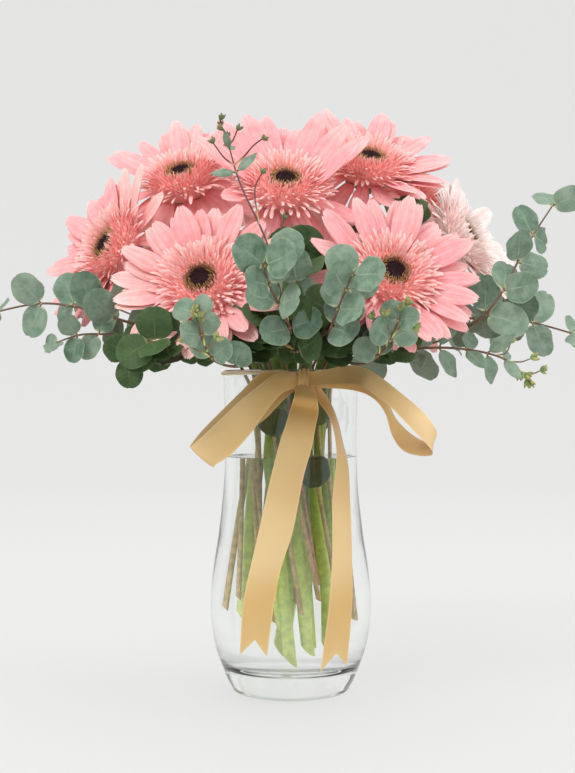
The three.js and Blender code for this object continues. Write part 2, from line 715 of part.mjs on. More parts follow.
// Assembly

const bunch = new THREE.Group();

function addPiece(name, geometry, look) {
  const mesh = new THREE.Mesh(geometry, look);
  mesh.name = name;
  bunch.add(mesh);
}

const stems = [];
blooms.forEach((bloom) => setFrame(bloom));
blooms.forEach((bloom, i) => {
  setPlanes(bloom);
  setRays(bloom, 11 + i);
  bloom.points = stalkPoints(bloom);
  bloom.radius = stalkRadius;
  bloom.sides = 5;
  stems.push(bloom);
  for (const ray of bloom.rays) {
    for (const s of [0.3, 0.5, 0.7, 0.85, 1]) {
      for (const across of [-0.9, 0, 0.9]) {
        obstacles.push({ point: onRay(bloom, ray, s, across), reach: leafToRay });
      }
    }
  }
  for (const height of [-14, -4, 6]) {
    obstacles.push({ point: fromBloom(bloom, 0, 0, height), reach: leafToCore });
  }
});
sprays.forEach((spray) => {
  spray.slot = takeSlot(vector(spray.route[0]), 0.5, 25);
  spray.radius = spray.name === 'top_twig' ? 1.2 : sprayRadius;
  spray.sides = 3;
  spray.points = sprayPoints(spray, spray.route.length);
  stems.push(spray);
});
for (const stem of stems) {
  stem.points.slice(1, -1).forEach((point, i) => {
    const next = stem.points[i + 2];
    const steps = Math.ceil(point.distanceTo(next) / 4);
    for (let k = 0; k <= steps; k++) {
      const reach = stem.radius + leafToStem;
      obstacles.push({ point: point.clone().lerp(next, k / steps), owner: stem, reach });
    }
  });
}
sprays.forEach((spray, i) => growLeaves(spray, 301 + i));

addPiece('vase', vaseGeometry(), materials.glass);
addPiece('water', waterGeometry(stems), materials.water);
addPiece('ribbon', ribbonGeometry(), materials.satin);
for (const bloom of blooms) {
  addPiece(`bloom_${bloom.name}`, headGeometry(bloom), bloom.pale ? materials.paleRay : materials.ray);
  addPiece(`disc_${bloom.name}`, discGeometry(bloom), materials.disc);
  const stalk = toSolid(stemGeometry(bloom.points, bloom.radius, bloom.sides));
  addPiece(`stalk_${bloom.name}`, toGeometry(stalk.add(toSolid(calyxGeometry(bloom)))), materials.stalk);
}
for (const spray of sprays) {
  const look = spray.dark ? materials.darkLeaf : materials.leaf;
  addPiece(`eucalyptus_${spray.name}`, sprayGeometry(spray), look);
}

export default bunch;
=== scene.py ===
# Double gerberas and eucalyptus in a clear glass vase of water, tied with a satin bow.
# Lengths are in millimetres throughout, and makeObject turns them into metres.

import itertools
import json
import math
import bpy
import numpy as np
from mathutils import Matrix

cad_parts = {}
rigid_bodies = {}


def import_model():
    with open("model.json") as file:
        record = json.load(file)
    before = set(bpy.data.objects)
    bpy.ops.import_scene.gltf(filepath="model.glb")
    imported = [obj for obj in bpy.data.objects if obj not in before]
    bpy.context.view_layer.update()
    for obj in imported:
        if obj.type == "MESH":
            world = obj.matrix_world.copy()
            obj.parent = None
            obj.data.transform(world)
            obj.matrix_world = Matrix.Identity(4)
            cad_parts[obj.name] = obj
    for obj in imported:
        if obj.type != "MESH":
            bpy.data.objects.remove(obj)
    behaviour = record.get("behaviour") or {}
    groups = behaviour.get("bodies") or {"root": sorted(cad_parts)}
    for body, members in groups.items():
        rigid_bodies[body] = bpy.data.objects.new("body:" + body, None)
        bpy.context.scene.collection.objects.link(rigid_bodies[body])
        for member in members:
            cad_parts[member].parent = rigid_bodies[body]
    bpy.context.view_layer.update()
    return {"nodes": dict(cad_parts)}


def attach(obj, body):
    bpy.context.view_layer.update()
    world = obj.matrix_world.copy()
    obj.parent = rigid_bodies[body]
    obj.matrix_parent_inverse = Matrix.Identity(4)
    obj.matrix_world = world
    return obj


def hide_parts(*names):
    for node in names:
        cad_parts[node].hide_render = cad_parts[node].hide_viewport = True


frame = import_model()
print("frame loaded:", len(frame["nodes"]), "nodes")

millimetre = 0.001
goldenTurn = 137.508  # the turn in degrees from each to the next of the things that crowd round a middle
seeds = {"rays": 11, "extras": 111, "head": 211, "eye": 251, "stalk": 281, "leaves": 301, "twigLeaves": 351,
         "spray": 401}

# Camera, level with the neck of the vase

cameraView = {
    "place": (-2.06, -844, 188.75),
    "focalPixels": 1350,
    "imageHeight": 773,
    "sensor": 36,
    "farthestMetres": 30,
}


def addObject(name, data):
    made = bpy.data.objects.new(name, data)
    bpy.context.scene.collection.objects.link(made)
    return made


def makeCamera(view):
    data = bpy.data.cameras.new("camera")
    data.sensor_fit = "VERTICAL"
    data.sensor_height = view["sensor"]
    data.lens = view["sensor"] * view["focalPixels"] / view["imageHeight"]
    data.clip_end = view["farthestMetres"]
    camera = addObject("camera", data)
    camera.location = [x * millimetre for x in view["place"]]
    camera.rotation_euler = (math.radians(90), 0, 0)
    bpy.context.scene.camera = camera


makeCamera(cameraView)

# Small helpers: vectors, draws, and the points and faces of a piece


def vec(values):
    return np.array(values, float)


def unit(v):
    return v / np.linalg.norm(v)


def seededRandom(seed):  # the same seed always gives the same draws
    state = seed

    def draw():
        nonlocal state
        state = (state * 1664525 + 1013904223) % 4294967296
        return state / 4294967296

    return draw


def between(random, least, spread):  # what is drawn from a pair in a table
    return least + spread * random()


def swayed(random, amount):  # up to half the amount either way
    return amount * (random() - 0.5)


def meshed(rows, cols):  # two grids, of the row's and of the column's value at each point
    return np.meshgrid(rows, cols, indexing="ij")


def bladeOf(across, along, tone):
    return np.stack(np.broadcast_arrays(across, along, tone), axis=-1)


def softened(path, times):  # rounds the corners of a path and keeps its ends
    path = np.array(path, float)
    for _ in range(times):
        path[1:-1] = path[1:-1] / 2 + (path[:-2] + path[2:]) / 4
    return path


class Gather:  # blade holds, for each point, its place across and along its blade and the blade's own tone
    def __init__(self):
        self.points = []
        self.blades = []
        self.faces = []
        self.looks = []
        self.count = 0

    def add(self, points, blade, *parts):  # each part is a list of faces and the name of their look
        points = np.asarray(points, float).reshape(-1, 3)
        blade = np.asarray(blade, float).reshape(-1, 3)
        for faces, look in parts:
            self.faces += [tuple(int(i) + self.count for i in face) for face in faces]
            self.looks += [look] * len(faces)
        self.points.append(points)
        self.blades.append(np.broadcast_to(blade, points.shape))
        self.count += len(points)


def makeObject(name, gather, materials):  # materials by the names of their looks
    mesh = bpy.data.meshes.new(name)
    mesh.from_pydata((np.concatenate(gather.points) * millimetre).tolist(), [], gather.faces)
    blade = mesh.attributes.new("blade", "FLOAT_VECTOR", "POINT")
    blade.data.foreach_set("vector", np.concatenate(gather.blades).ravel().astype(np.float32))
    for material in materials.values():
        mesh.materials.append(material)
    numbers = {look: number for number, look in enumerate(materials)}
    mesh.polygons.foreach_set("material_index", [numbers[look] for look in gather.looks])
    mesh.polygons.foreach_set("use_smooth", [True] * len(mesh.polygons))
    return addObject(name, mesh)


def makePiece(name, gather, materials, node, sharp=50):
    piece = makeObject(name, gather, materials)
    piece.data.set_sharp_from_angle(angle=math.radians(sharp))
    piece.data.update()
    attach(piece, "root")
    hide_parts(node)
    return piece


def quadsOf(index):
    corners = [index[:-1, :-1], index[1:, :-1], index[1:, 1:], index[:-1, 1:]]
    return np.stack([c.ravel() for c in corners], axis=1).tolist()


def ringIndex(rings, sides):  # the numbers of each ring's points, with its first point again at its end
    index = np.arange(rings * sides).reshape(rings, sides)
    return np.concatenate([index, index[:, :1]], axis=1)


def normalsOf(grid):
    normal = np.cross(np.gradient(grid, axis=0), np.gradient(grid, axis=1))
    return normal / np.maximum(np.linalg.norm(normal, axis=2, keepdims=True), 1e-9)


def addSheet(gather, grid, blade, thickness, over="body", under="body"):  # a thin closed blade over a grid
    rows, cols = grid.shape[:2]
    inner = (slice(1, -1), slice(1, -1))
    half = normalsOf(grid)[inner] * thickness / 2
    top = grid.copy()
    top[inner] += half
    topIndex = np.arange(rows * cols).reshape(rows, cols)
    bottomIndex = topIndex.copy()
    bottomIndex[inner] = rows * cols + np.arange((rows - 2) * (cols - 2)).reshape(rows - 2, cols - 2)
    bottomFaces = [face[::-1] for face in quadsOf(bottomIndex)]
    points = np.concatenate([top.reshape(-1, 3), (grid[inner] - half).reshape(-1, 3)])
    places = np.concatenate([blade.reshape(-1, 3), blade[inner].reshape(-1, 3)])
    gather.add(points, places, (quadsOf(topIndex), over), (bottomFaces, under))


def addTube(gather, path, radii, sides, look, tone=0.0, slant=0.0, cutLook=None):  # its start may be cut
    path = np.asarray(path, float)
    tangents = np.gradient(path, axis=0)
    tangents /= np.linalg.norm(tangents, axis=1, keepdims=True)
    across = unit(np.cross(tangents[0], [0.31, 0.87, 0.38]))
    angles = 2 * math.pi * np.arange(sides) / sides
    cos, sin = np.cos(angles), np.sin(angles)
    rings = []
    for point, tangent, radius in zip(path, tangents, radii):
        across = unit(across - tangent * across.dot(tangent))
        other = np.cross(tangent, across)
        rings.append(point + radius * (cos[:, None] * across + sin[:, None] * other))
    rings[0] = rings[0] + np.outer(slant * radii[0] * cos, tangents[0])
    faces = [(a, d, c, b) for a, b, c, d in quadsOf(ringIndex(len(path), sides))]
    blade = bladeOf(cos, np.linspace(0, 1, len(path))[:, None], tone)
    last = (len(path) - 1) * sides
    start = [tuple(range(sides - 1, -1, -1))]
    end = [tuple(range(last, last + sides))]
    gather.add(rings, blade, (faces, look), (start, cutLook or look), (end, look))


def addLathe(gather, profile, segments, look="body", axes=None, tone=0.0, along=None):  # from axis to axis
    angles = 2 * math.pi * np.arange(segments) / segments
    points = []
    rings = []
    for radius, height in profile:
        first = len(points)
        if radius == 0:
            rings.append([first] * (segments + 1))
            points.append((0, 0, height))
        else:
            rings.append([*range(first, first + segments), first])
            points += [(radius * math.cos(a), radius * math.sin(a), height) for a in angles]
    faces = []
    for low, high in zip(rings, rings[1:]):
        for k in range(segments):
            corners = dict.fromkeys([low[k], low[k + 1], high[k + 1], high[k]])
            if len(corners) > 2:
                faces.append(tuple(corners))
    points = vec(points)
    blade = bladeOf(points[:, 0], points[:, 2] if along is None else along, tone)
    if axes:
        centre, side, rise, facing = axes
        points = centre + points[:, :1] * side + points[:, 1:2] * rise + points[:, 2:] * facing
    gather.add(points, blade, (faces, look))


def smoothRows(rows, steps):  # a soft curve through rows of points, with steps between each two
    rows = np.asarray(rows, float)
    before = np.concatenate([[2 * rows[0] - rows[1]], rows[:-1]])
    after = np.concatenate([rows[1:], [2 * rows[-1] - rows[-2]]])
    slopes = (after - before) / 2
    made = []
    for i in range(len(rows) - 1):
        for t in np.arange(steps) / steps:
            made.append(hermite(rows[i], rows[i + 1], slopes[i], slopes[i + 1], t))
    return np.array(made + [rows[-1]])


def hermite(a, b, slopeA, slopeB, t):
    return (a + slopeA * t + (3 * (b - a) - 2 * slopeA - slopeB) * t * t
            + (2 * (a - b) + slopeA + slopeB) * t ** 3)


# Materials: node helpers, then the effects that several finishes share


def fill(socket, value):  # another socket is linked to this one, and a constant is set in it
    if isinstance(value, Value):
        socket.id_data.links.new(value.socket, socket)
    elif value is not None:
        socket.default_value = value


def fillInputs(node, **values):  # by label, with _ for a space
    for label, value in values.items():
        fill(node.inputs[label.replace("_", " ")], value)


def addNode(tree, kind, *ins, **settings):
    node = tree.nodes.new("ShaderNode" + kind)
    for key, value in settings.items():
        setattr(node, key, value)
    for socket, value in zip(node.inputs, ins):
        fill(socket, value)
    return node


def valueNode(tree, kind, *ins, output=0, **settings):
    return Value(addNode(tree, kind, *ins, **settings).outputs[output])


class Value:  # what comes out of a node: sums and mixes with it add the nodes they take
    def __init__(self, socket):
        self.socket = socket
        self.tree = socket.id_data

    def math(self, operation, *others):
        return valueNode(self.tree, "Math", self, *others, operation=operation)

    def __add__(self, other):
        return self.math("ADD", other)

    def __sub__(self, other):
        return self.math("SUBTRACT", other)

    def __mul__(self, other):
        return self.math("MULTIPLY", other)

    def __pow__(self, other):
        return self.math("POWER", other)

    def split(self):
        return [Value(output) for output in addNode(self.tree, "SeparateXYZ", self).outputs]

    def within(self, low, high, toLow=0.0, toHigh=1.0):  # eased from low to high
        ins = (self, low, high, toLow, toHigh)
        return valueNode(self.tree, "MapRange", *ins, interpolation_type="SMOOTHSTEP")

    def ramp(self, stops):
        node = addNode(self.tree, "ValToRGB", self)
        elements = node.color_ramp.elements
        while len(elements) < len(stops):
            elements.new(0.5)
        for element, (place, colour) in zip(elements, stops):
            element.position = place
            element.color = (*colour, 1)
        return Value(node.outputs[0])


def mixNode(tree, factor, a, b, blend="MIX"):
    node = addNode(tree, "Mix", data_type="RGBA", blend_type=blend)
    fill(node.inputs[0], factor)
    for index, colour in ((6, a), (7, b)):
        fill(node.inputs[index], colour if isinstance(colour, Value) else (*colour, 1))
    return Value(node.outputs[2])


def lightPath(tree, kind):
    return valueNode(tree, "LightPath", output=kind)


def placeOn(tree, kind="Object"):
    return valueNode(tree, "TexCoord", output=kind)


def makeGroup(name, inputs, outputs):
    group = bpy.data.node_groups.new(name, "ShaderNodeTree")
    for label, kind, value in inputs:
        socket = group.interface.new_socket(name=label, in_out="INPUT", socket_type=kind)
        socket.default_value = value
    for label, kind in outputs:
        group.interface.new_socket(name=label, in_out="OUTPUT", socket_type=kind)
    source = group.nodes.new("NodeGroupInput")
    target = group.nodes.new("NodeGroupOutput")
    return group, {label: Value(source.outputs[label]) for label, _, _ in inputs}, target


def makeVeinGroup():  # lines along a blade, slanting side veins and a middle rib
    numbers = {"Lines Across": 3, "Side Veins": 0, "Sharpness": 4, "Rib Width": 0.1, "Wobble": 0.3}
    inputs = [("Blade", "NodeSocketVector", (0, 0, 0))]
    inputs += [(label, "NodeSocketFloat", value) for label, value in numbers.items()]
    outputs = [("Veins", "NodeSocketFloat"), ("Rib", "NodeSocketFloat")]
    group, ins, target = makeGroup("bladeVeins", inputs, outputs)
    across, along, tone = ins["Blade"].split()
    away = across.math("ABSOLUTE")
    bend = (valueNode(group, "TexNoise", ins["Blade"]) - 0.5) * ins["Wobble"]
    slant = (along - away * 0.22) * ins["Side Veins"]
    phase = across * ins["Lines Across"] + slant + bend + tone
    wave = (phase * (2 * math.pi)).math("COSINE") * 0.5 + 0.5
    rib = away.math("DIVIDE", ins["Rib Width"]).within(1.0, 0.0)
    fillInputs(target, Veins=wave ** ins["Sharpness"], Rib=rib)
    return group


def makeMottleGroup():  # soft cloudy change over a surface
    numbers = {"Scale": 100, "Low": 0, "High": 1}
    inputs = [(label, "NodeSocketFloat", value) for label, value in numbers.items()]
    group, ins, target = makeGroup("mottle", inputs, [("Value", "NodeSocketFloat")])
    noise = valueNode(group, "TexNoise", placeOn(group), None, ins["Scale"], 3.0, 0.6)
    fillInputs(target, Value=noise.within(0.3, 0.7, ins["Low"], ins["High"]))
    return group


veinGroup = makeVeinGroup()
mottleGroup = makeMottleGroup()


def useGroup(tree, group, **values):
    node = tree.nodes.new("ShaderNodeGroup")
    node.node_tree = group
    fillInputs(node, **values)
    return {output.name: Value(output) for output in node.outputs}


def cloudNode(tree, scale, low=0.0, high=1.0):
    return useGroup(tree, mottleGroup, Scale=scale, Low=low, High=high)["Value"]


def startMaterial(name, **constants):
    material = bpy.data.materials.new(name)
    material.use_nodes = True
    tree = material.node_tree
    shader = tree.nodes["Principled BSDF"]
    fillInputs(shader, **constants)
    return material, tree, shader


def bladeNode(tree):
    blade = valueNode(tree, "Attribute", output="Vector", attribute_name="blade")
    return blade, *blade.split()


def addBump(tree, shader, height, strength, distance):
    bump = addNode(tree, "Bump", strength, distance)
    fillInputs(bump, Height=height)
    fillInputs(shader, Normal=Value(bump.outputs[0]))


# line is the colour of the veins and also of the painted shade in the furrows
petalPink = {
    "root": (0.89, 0.26, 0.25), "middle": (0.955, 0.405, 0.42), "end": (0.96, 0.54, 0.54),
    "pale": (0.96, 0.72, 0.64), "line": (0.88, 0.27, 0.28), "lineShare": 0.2, "furrowShadeShare": 0.28,
    "paleShare": 0.7,
}
petalBack = {
    "root": (0.80, 0.44, 0.30), "middle": (0.95, 0.44, 0.40), "end": (0.96, 0.55, 0.52),
    "pale": (0.96, 0.72, 0.62), "line": (0.84, 0.32, 0.25), "lineShare": 0.3, "furrowShadeShare": 0.3,
    "paleShare": 0.6,
}
petalPale = {
    "root": (0.97, 0.64, 0.59), "middle": (0.99, 0.78, 0.755), "end": (0.99, 0.83, 0.81),
    "pale": (0.99, 0.90, 0.84), "line": (0.95, 0.66, 0.60), "lineShare": 0.2, "furrowShadeShare": 0.28,
    "paleShare": 0.7,
}


def petalMaterial(name, look):
    material, tree, shader = startMaterial(name, Roughness=0.6, Specular_IOR_Level=0.12,
                                           Subsurface_Weight=0.12, Subsurface_Scale=0.002,
                                           Subsurface_Radius=(1.0, 0.8, 0.8))
    blade, across, along, tone = bladeNode(tree)
    stops = [(0.0, look["root"]), (0.35, look["middle"]), (0.78, look["middle"]), (1.0, look["end"])]
    colour = mixNode(tree, tone * along * look["paleShare"], along.ramp(stops), look["pale"])
    veins = useGroup(tree, veinGroup, Blade=blade, Lines_Across=3.2, Sharpness=3, Rib_Width=0.12,
                     Wobble=0.5)["Veins"]
    ridges = (across * (3 * math.pi)).math("COSINE")
    # painted shade: the petal darkens towards its line colour in the furrows between its three ridges; the
    # veins in that colour are its own
    furrowShade = ridges.within(-0.3, -1.0, 0.0, look["furrowShadeShare"])
    colour = mixNode(tree, furrowShade.math("MAXIMUM", veins * look["lineShare"]), colour, look["line"])
    cloud = cloudNode(tree, 140.0, 0.86, 1.06)
    colour = mixNode(tree, 1.0, colour, valueNode(tree, "CombineXYZ", 1.0, cloud, cloud), "MULTIPLY")
    fillInputs(shader, Base_Color=colour)
    addBump(tree, shader, veins, 0.3, 0.0004)
    return material


floretPink = {"root": (0.91, 0.32, 0.29), "middle": (0.97, 0.44, 0.42), "end": (0.97, 0.57, 0.55),
              "pale": (0.97, 0.74, 0.66), "paleShare": 0.6}
floretPale = {"root": (0.99, 0.67, 0.64), "middle": (0.995, 0.79, 0.76), "end": (0.995, 0.87, 0.85),
              "pale": (0.99, 0.92, 0.87), "paleShare": 0.6}


def floretMaterial(name, look):
    material, tree, shader = startMaterial(name, Roughness=0.6, Specular_IOR_Level=0.12,
                                           Subsurface_Weight=0.1, Subsurface_Scale=0.002)
    blade, _, along, tone = bladeNode(tree)
    colour = along.ramp([(0.0, look["root"]), (0.4, look["middle"]), (1.0, look["end"])])
    fillInputs(shader, Base_Color=mixNode(tree, tone * along * look["paleShare"], colour, look["pale"]))
    veins = useGroup(tree, veinGroup, Blade=blade, Lines_Across=1.5, Sharpness=2, Wobble=0.2)["Veins"]
    addBump(tree, shader, veins, 0.2, 0.0003)
    return material


def rampedMaterial(name, stops, scale, change, bump, other=None, **constants):  # ramps along the blade
    material, tree, shader = startMaterial(name, **constants)
    _, _, along, tone = bladeNode(tree)
    colour = along.ramp(stops)
    if other:
        colour = mixNode(tree, tone, colour, along.ramp(other))
    cloud = cloudNode(tree, scale, 1 - change, 1 + change)
    colour = mixNode(tree, 1.0, colour, valueNode(tree, "CombineXYZ", cloud, cloud, cloud), "MULTIPLY")
    fillInputs(shader, Base_Color=colour)
    addBump(tree, shader, cloud, bump, 0.0005)
    return material


leafGrey = {"body": (0.092, 0.172, 0.110), "wax": (0.295, 0.385, 0.290), "vein": (0.33, 0.43, 0.31),
            "rim": (0.30, 0.37, 0.25), "base": (0.46, 0.52, 0.32), "veinShare": 0.2,
            "ribShare": 0.8, "rimShare": 0.7}
leafDark = {"body": (0.026, 0.060, 0.014), "wax": (0.080, 0.142, 0.050), "vein": (0.13, 0.19, 0.075),
            "rim": (0.10, 0.14, 0.055), "base": (0.24, 0.30, 0.13), "veinShare": 0.25,
            "ribShare": 0.8, "rimShare": 0.7}
leafUnder = {"body": (0.150, 0.190, 0.125), "wax": (0.245, 0.300, 0.220), "vein": (0.28, 0.33, 0.22),
             "rim": (0.24, 0.28, 0.18), "base": (0.36, 0.41, 0.25), "veinShare": 0.3,
             "ribShare": 0.8, "rimShare": 0.7}


def leafMaterial(name, look):
    material, tree, shader = startMaterial(name, Specular_IOR_Level=0.3)
    blade, across, along, tone = bladeNode(tree)
    cloud = cloudNode(tree, 170.0)
    colour = mixNode(tree, tone * 0.5 + cloud * 0.5, look["body"], look["wax"])
    veins = useGroup(tree, veinGroup, Blade=blade, Lines_Across=0.0, Side_Veins=7.0, Sharpness=14,
                     Rib_Width=0.07, Wobble=0.5)
    rib = veins["Rib"] * along.within(1.0, 0.2) * look["ribShare"]
    marks = rib.math("MAXIMUM", veins["Veins"] * look["veinShare"])
    colour = mixNode(tree, marks, colour, look["vein"])
    edge = across.math("ABSOLUTE").within(0.86, 1.0, 0.0, look["rimShare"])
    colour = mixNode(tree, edge, colour, look["rim"])
    colour = mixNode(tree, along.within(0.085, 0.01), colour, look["base"])
    fillInputs(shader, Base_Color=colour, Roughness=cloud.within(0.0, 1.0, 0.45, 0.65))
    addBump(tree, shader, marks, 0.3, 0.0004)
    return material


def glassMaterial(name, ior, tint, shadowShare, footShade=None):  # shadows pass, so what is inside stays lit
    material, tree, shader = startMaterial(name, IOR=ior, Transmission_Weight=1.0)
    colour = mixNode(tree, cloudNode(tree, 15.0), tint, [min(1, c * 1.01) for c in tint])
    if footShade:  # painted shade: a dark line along the foot's edge, where the glass meets the floor
        height = placeOn(tree).split()[2]
        colour = mixNode(tree, height.within(0.0006, 0.0032), footShade, colour)
    fillInputs(shader, Base_Color=colour, Roughness=cloudNode(tree, 60.0, 0.0, 0.012),
               Alpha=lightPath(tree, "Is Shadow Ray") * -shadowShare + 1.0)
    return material


# deep is the colour of painted shade and of the thread lines, light the colour of painted sheen and of the
# selvedge
satinGold = {"deep": (0.54, 0.28, 0.05), "body": (0.70, 0.45, 0.165), "light": (0.91, 0.69, 0.37),
             "pale": (0.95, 0.87, 0.70), "threadPitch": 0.45, "selvedge": 0.88, "sheenDrift": 0.016}


def satinMaterial(name, look):  # its blade is across from -1 to 1, and along in millimetres
    material, tree, shader = startMaterial(name, Metallic=0.18, Anisotropic=0.5, Sheen_Weight=0.25,
                                           Sheen_Roughness=0.35)
    _, across, along, tone = bladeNode(tree)
    cloud = cloudNode(tree, 45.0)
    # painted sheen: lighter bands drifting along the ribbon, towards the light colour
    place = valueNode(tree, "CombineXYZ", along * look["sheenDrift"], across * 0.12, tone)
    sheenDrift = valueNode(tree, "TexNoise", place, None, 1.0, 1.0)
    light = sheenDrift.within(0.3, 0.7, 0.0, 0.7) + cloud * 0.08
    colour = mixNode(tree, light, look["body"], look["light"])
    # painted shade: the colour turns deep where the ribbon turns away from view and where its tone is
    # painted shade near the knot; a tone from 0.9 up marks the pale band
    facing = valueNode(tree, "LayerWeight", 0.35, output="Facing")
    colour = mixNode(tree, tone.math("MAXIMUM", facing * 0.4), colour, look["deep"])
    colour = mixNode(tree, tone.within(0.9, 1.0), colour, look["pale"])
    ribs = (along * (2 * math.pi / look["threadPitch"])).math("SINE") * 0.5 + 0.5
    edge = across.math("ABSOLUTE").within(look["selvedge"], 1.0)
    colour = mixNode(tree, ribs * 0.06, colour, look["deep"])
    colour = mixNode(tree, edge * 0.55, colour, look["light"])
    fillInputs(shader, Base_Color=colour, Roughness=cloud.within(0.0, 1.0, 0.34, 0.46))
    addBump(tree, shader, ribs * 0.4 + edge, 0.25, 0.0002)
    return material


pinkPetal = petalMaterial("pinkPetal", petalPink)
palePetal = petalMaterial("palePetal", petalPale)
backPetal = petalMaterial("backPetal", petalBack)
pinkFloret = floretMaterial("pinkFloret", floretPink)
paleFloret = floretMaterial("paleFloret", floretPale)
eyeDark = rampedMaterial("eyeDark", [(0.0, (0.010, 0.003, 0.005)), (1.0, (0.055, 0.012, 0.016))],
                         900.0, 0.4, 0.4, Roughness=0.75)
eyeTan = rampedMaterial("eyeTan", [(0.0, (0.09, 0.03, 0.012)), (0.6, (0.42, 0.23, 0.08)),
                                   (1.0, (0.78, 0.55, 0.25))], 500.0, 0.2, 0.1, Roughness=0.6)
# the stalk's green, pale and bright low in the water as painted light, and dark olive from the neck up as
# painted shade under the bouquet
stalkGreenLightAndShade = [(0.0, (0.68, 0.80, 0.30)), (0.2, (0.54, 0.72, 0.13)), (0.3, (0.38, 0.58, 0.08)),
              (0.42, (0.15, 0.25, 0.045)), (1.0, (0.13, 0.21, 0.055))]
stalkGreen = rampedMaterial("stalkGreen", stalkGreenLightAndShade, 220.0, 0.14, 0.25, Roughness=0.45,
                            Subsurface_Weight=0.2, Subsurface_Scale=0.003)
calyxGreen = rampedMaterial("calyxGreen", [(0.0, (0.10, 0.20, 0.05)), (1.0, (0.20, 0.30, 0.10))],
                            300.0, 0.15, 0.3, Roughness=0.6)
cutEnd = rampedMaterial("cutEnd", [(0.0, (0.34, 0.22, 0.10)), (1.0, (0.42, 0.30, 0.14))],
                        900.0, 0.3, 0.4, Roughness=0.8)
# both barks are pale low down, in the water, as painted light; above that each has its own colour
redBark = [(0.0, (0.58, 0.32, 0.22)), (0.16, (0.52, 0.32, 0.15)), (0.3, (0.15, 0.06, 0.04)),
           (1.0, (0.12, 0.045, 0.035))]
greenBark = [(0.0, (0.66, 0.66, 0.26)), (0.16, (0.56, 0.62, 0.16)), (0.3, (0.22, 0.16, 0.085)),
             (0.8, (0.21, 0.14, 0.085)), (1.0, (0.24, 0.25, 0.13))]
twigBark = rampedMaterial("twigBark", redBark, 260.0, 0.22, 0.4, greenBark, Roughness=0.6)
darkBud = [(0.0, (0.07, 0.10, 0.045)), (0.55, (0.13, 0.17, 0.08)), (1.0, (0.24, 0.14, 0.08))]
freshBud = [(0.0, (0.20, 0.30, 0.09)), (0.55, (0.38, 0.46, 0.16)), (1.0, (0.50, 0.27, 0.13))]
budGreen = rampedMaterial("budGreen", darkBud, 400.0, 0.2, 0.2, freshBud, Roughness=0.6)
greyLeaf = leafMaterial("greyLeaf", leafGrey)
darkLeaf = leafMaterial("darkLeaf", leafDark)
underLeaf = leafMaterial("underLeaf", leafUnder)
clearGlass = glassMaterial("clearGlass", 1.5, (0.985, 0.995, 0.99), 0.96, (0.42, 0.47, 0.43))
stillWater = glassMaterial("stillWater", 1.333, (0.99, 0.997, 0.992), 0.985)
goldSatin = satinMaterial("goldSatin", satinGold)
print("materials made:", len(bpy.data.materials))

# Vase and water: dish is the inner floor's profile above its level, and waterEdge goes in from the glass,
# both as distance and height

vaseShape = {
    "outline": [(35.2, 0), (39.5, 7), (42.7, 15), (46, 24), (49.9, 48), (48, 78), (45.7, 93), (43.8, 108),
                (42.2, 123), (41.3, 138), (41.6, 180), (42.2, 199)],
    "hollow": [(0, 1.6), (14, 1.6), (26, 1.2), (31, 0.4)], "footCurve": 3.0, "footTuck": 0.3,
    "dish": [(0, -0.6), (12, -0.5), (22, 0), (29, 0.9), (34, 2.4), (37.6, 4.6), (40.2, 7.4)],
    "floorHeight": 15, "wallStart": 26, "wall": 2.5, "lipWidth": 1.25, "lipHeight": 1.1, "segments": 128,
    "waterLevel": 145, "waterOverlap": 0.12,
    "waterEdge": [(0, 0.7), (0.6, 0.42), (1.5, 0.175), (3, 0.05), (6, 0)],
}


def vaseRadius(height):
    radii, heights = np.array(vaseShape["outline"]).T
    slopes = np.gradient(radii, heights)
    k = int(np.clip(np.searchsorted(heights, height) - 1, 0, len(heights) - 2))
    span = heights[k + 1] - heights[k]
    t = (height - heights[k]) / span
    return float(hermite(radii[k], radii[k + 1], slopes[k] * span, slopes[k + 1] * span, t))


def vaseInside(height):
    return vaseRadius(height) - vaseShape["wall"]


def makeVase():
    shape = vaseShape
    gather = Gather()
    top = shape["outline"][-1][1]
    curve, tuck = shape["footCurve"], shape["footTuck"]
    width, rise = shape["lipWidth"], shape["lipHeight"]
    foot = [(vaseRadius(curve) - curve * (1 - math.cos(a)) - tuck * (1 - math.sin(a)),
             curve * (1 - math.sin(a))) for a in np.radians([90, 62, 35, 12])]
    outer = [(vaseRadius(z), z) for z in np.arange(4, top - 1, 3.0)]
    lip = [(vaseRadius(top) - width + width * math.cos(a), top - rise + rise * math.sin(a))
           for a in np.radians(np.arange(0, 181, 30))]
    inner = [(vaseInside(z), z) for z in np.arange(top - 4, shape["wallStart"] - 1, -3.0)]
    floor = [(radius, shape["floorHeight"] + z) for radius, z in shape["dish"]]
    addLathe(gather, shape["hollow"] + foot + outer + lip + inner + floor[::-1], shape["segments"])
    makePiece("vaseGlass", gather, {"body": clearGlass}, "vase", sharp=35)


def makeWater():  # it reaches a little into the glass, so no air shows between them
    shape = vaseShape
    gather = Gather()
    level, more = shape["waterLevel"], shape["waterOverlap"]
    floor = [(radius + (more if radius else 0), shape["floorHeight"] + z - more)
             for radius, z in shape["dish"]]
    side = [(vaseInside(z) + more, z) for z in np.arange(shape["wallStart"], level, 4.0)]
    edge = vaseInside(level) + more
    surface = [(edge - away, level + height) for away, height in shape["waterEdge"]]
    addLathe(gather, floor + side + surface + [(0, level)], shape["segments"])
    makePiece("stillWater", gather, {"body": stillWater}, "water", sharp=60)


makeVase()
makeWater()
print("vase and water made")

# Stems: each takes the free slot at the neck that is nearest to the way it leans, up to a share of its
# target and a limit

stemShape = {
    "slotCount": 30, "slotSpread": 5, "footSpread": 1.3, "footTurn": 60, "footPlane": 20,
    "gatherHeight": 188, "exitSpread": 1.5, "exitHeight": 208, "stalkLean": (0.2, 17),
    "sprayLean": (0.5, 25), "stalkRadius": 3.2, "sprayRadius": 1.6, "finestRadius": 1.2,
}


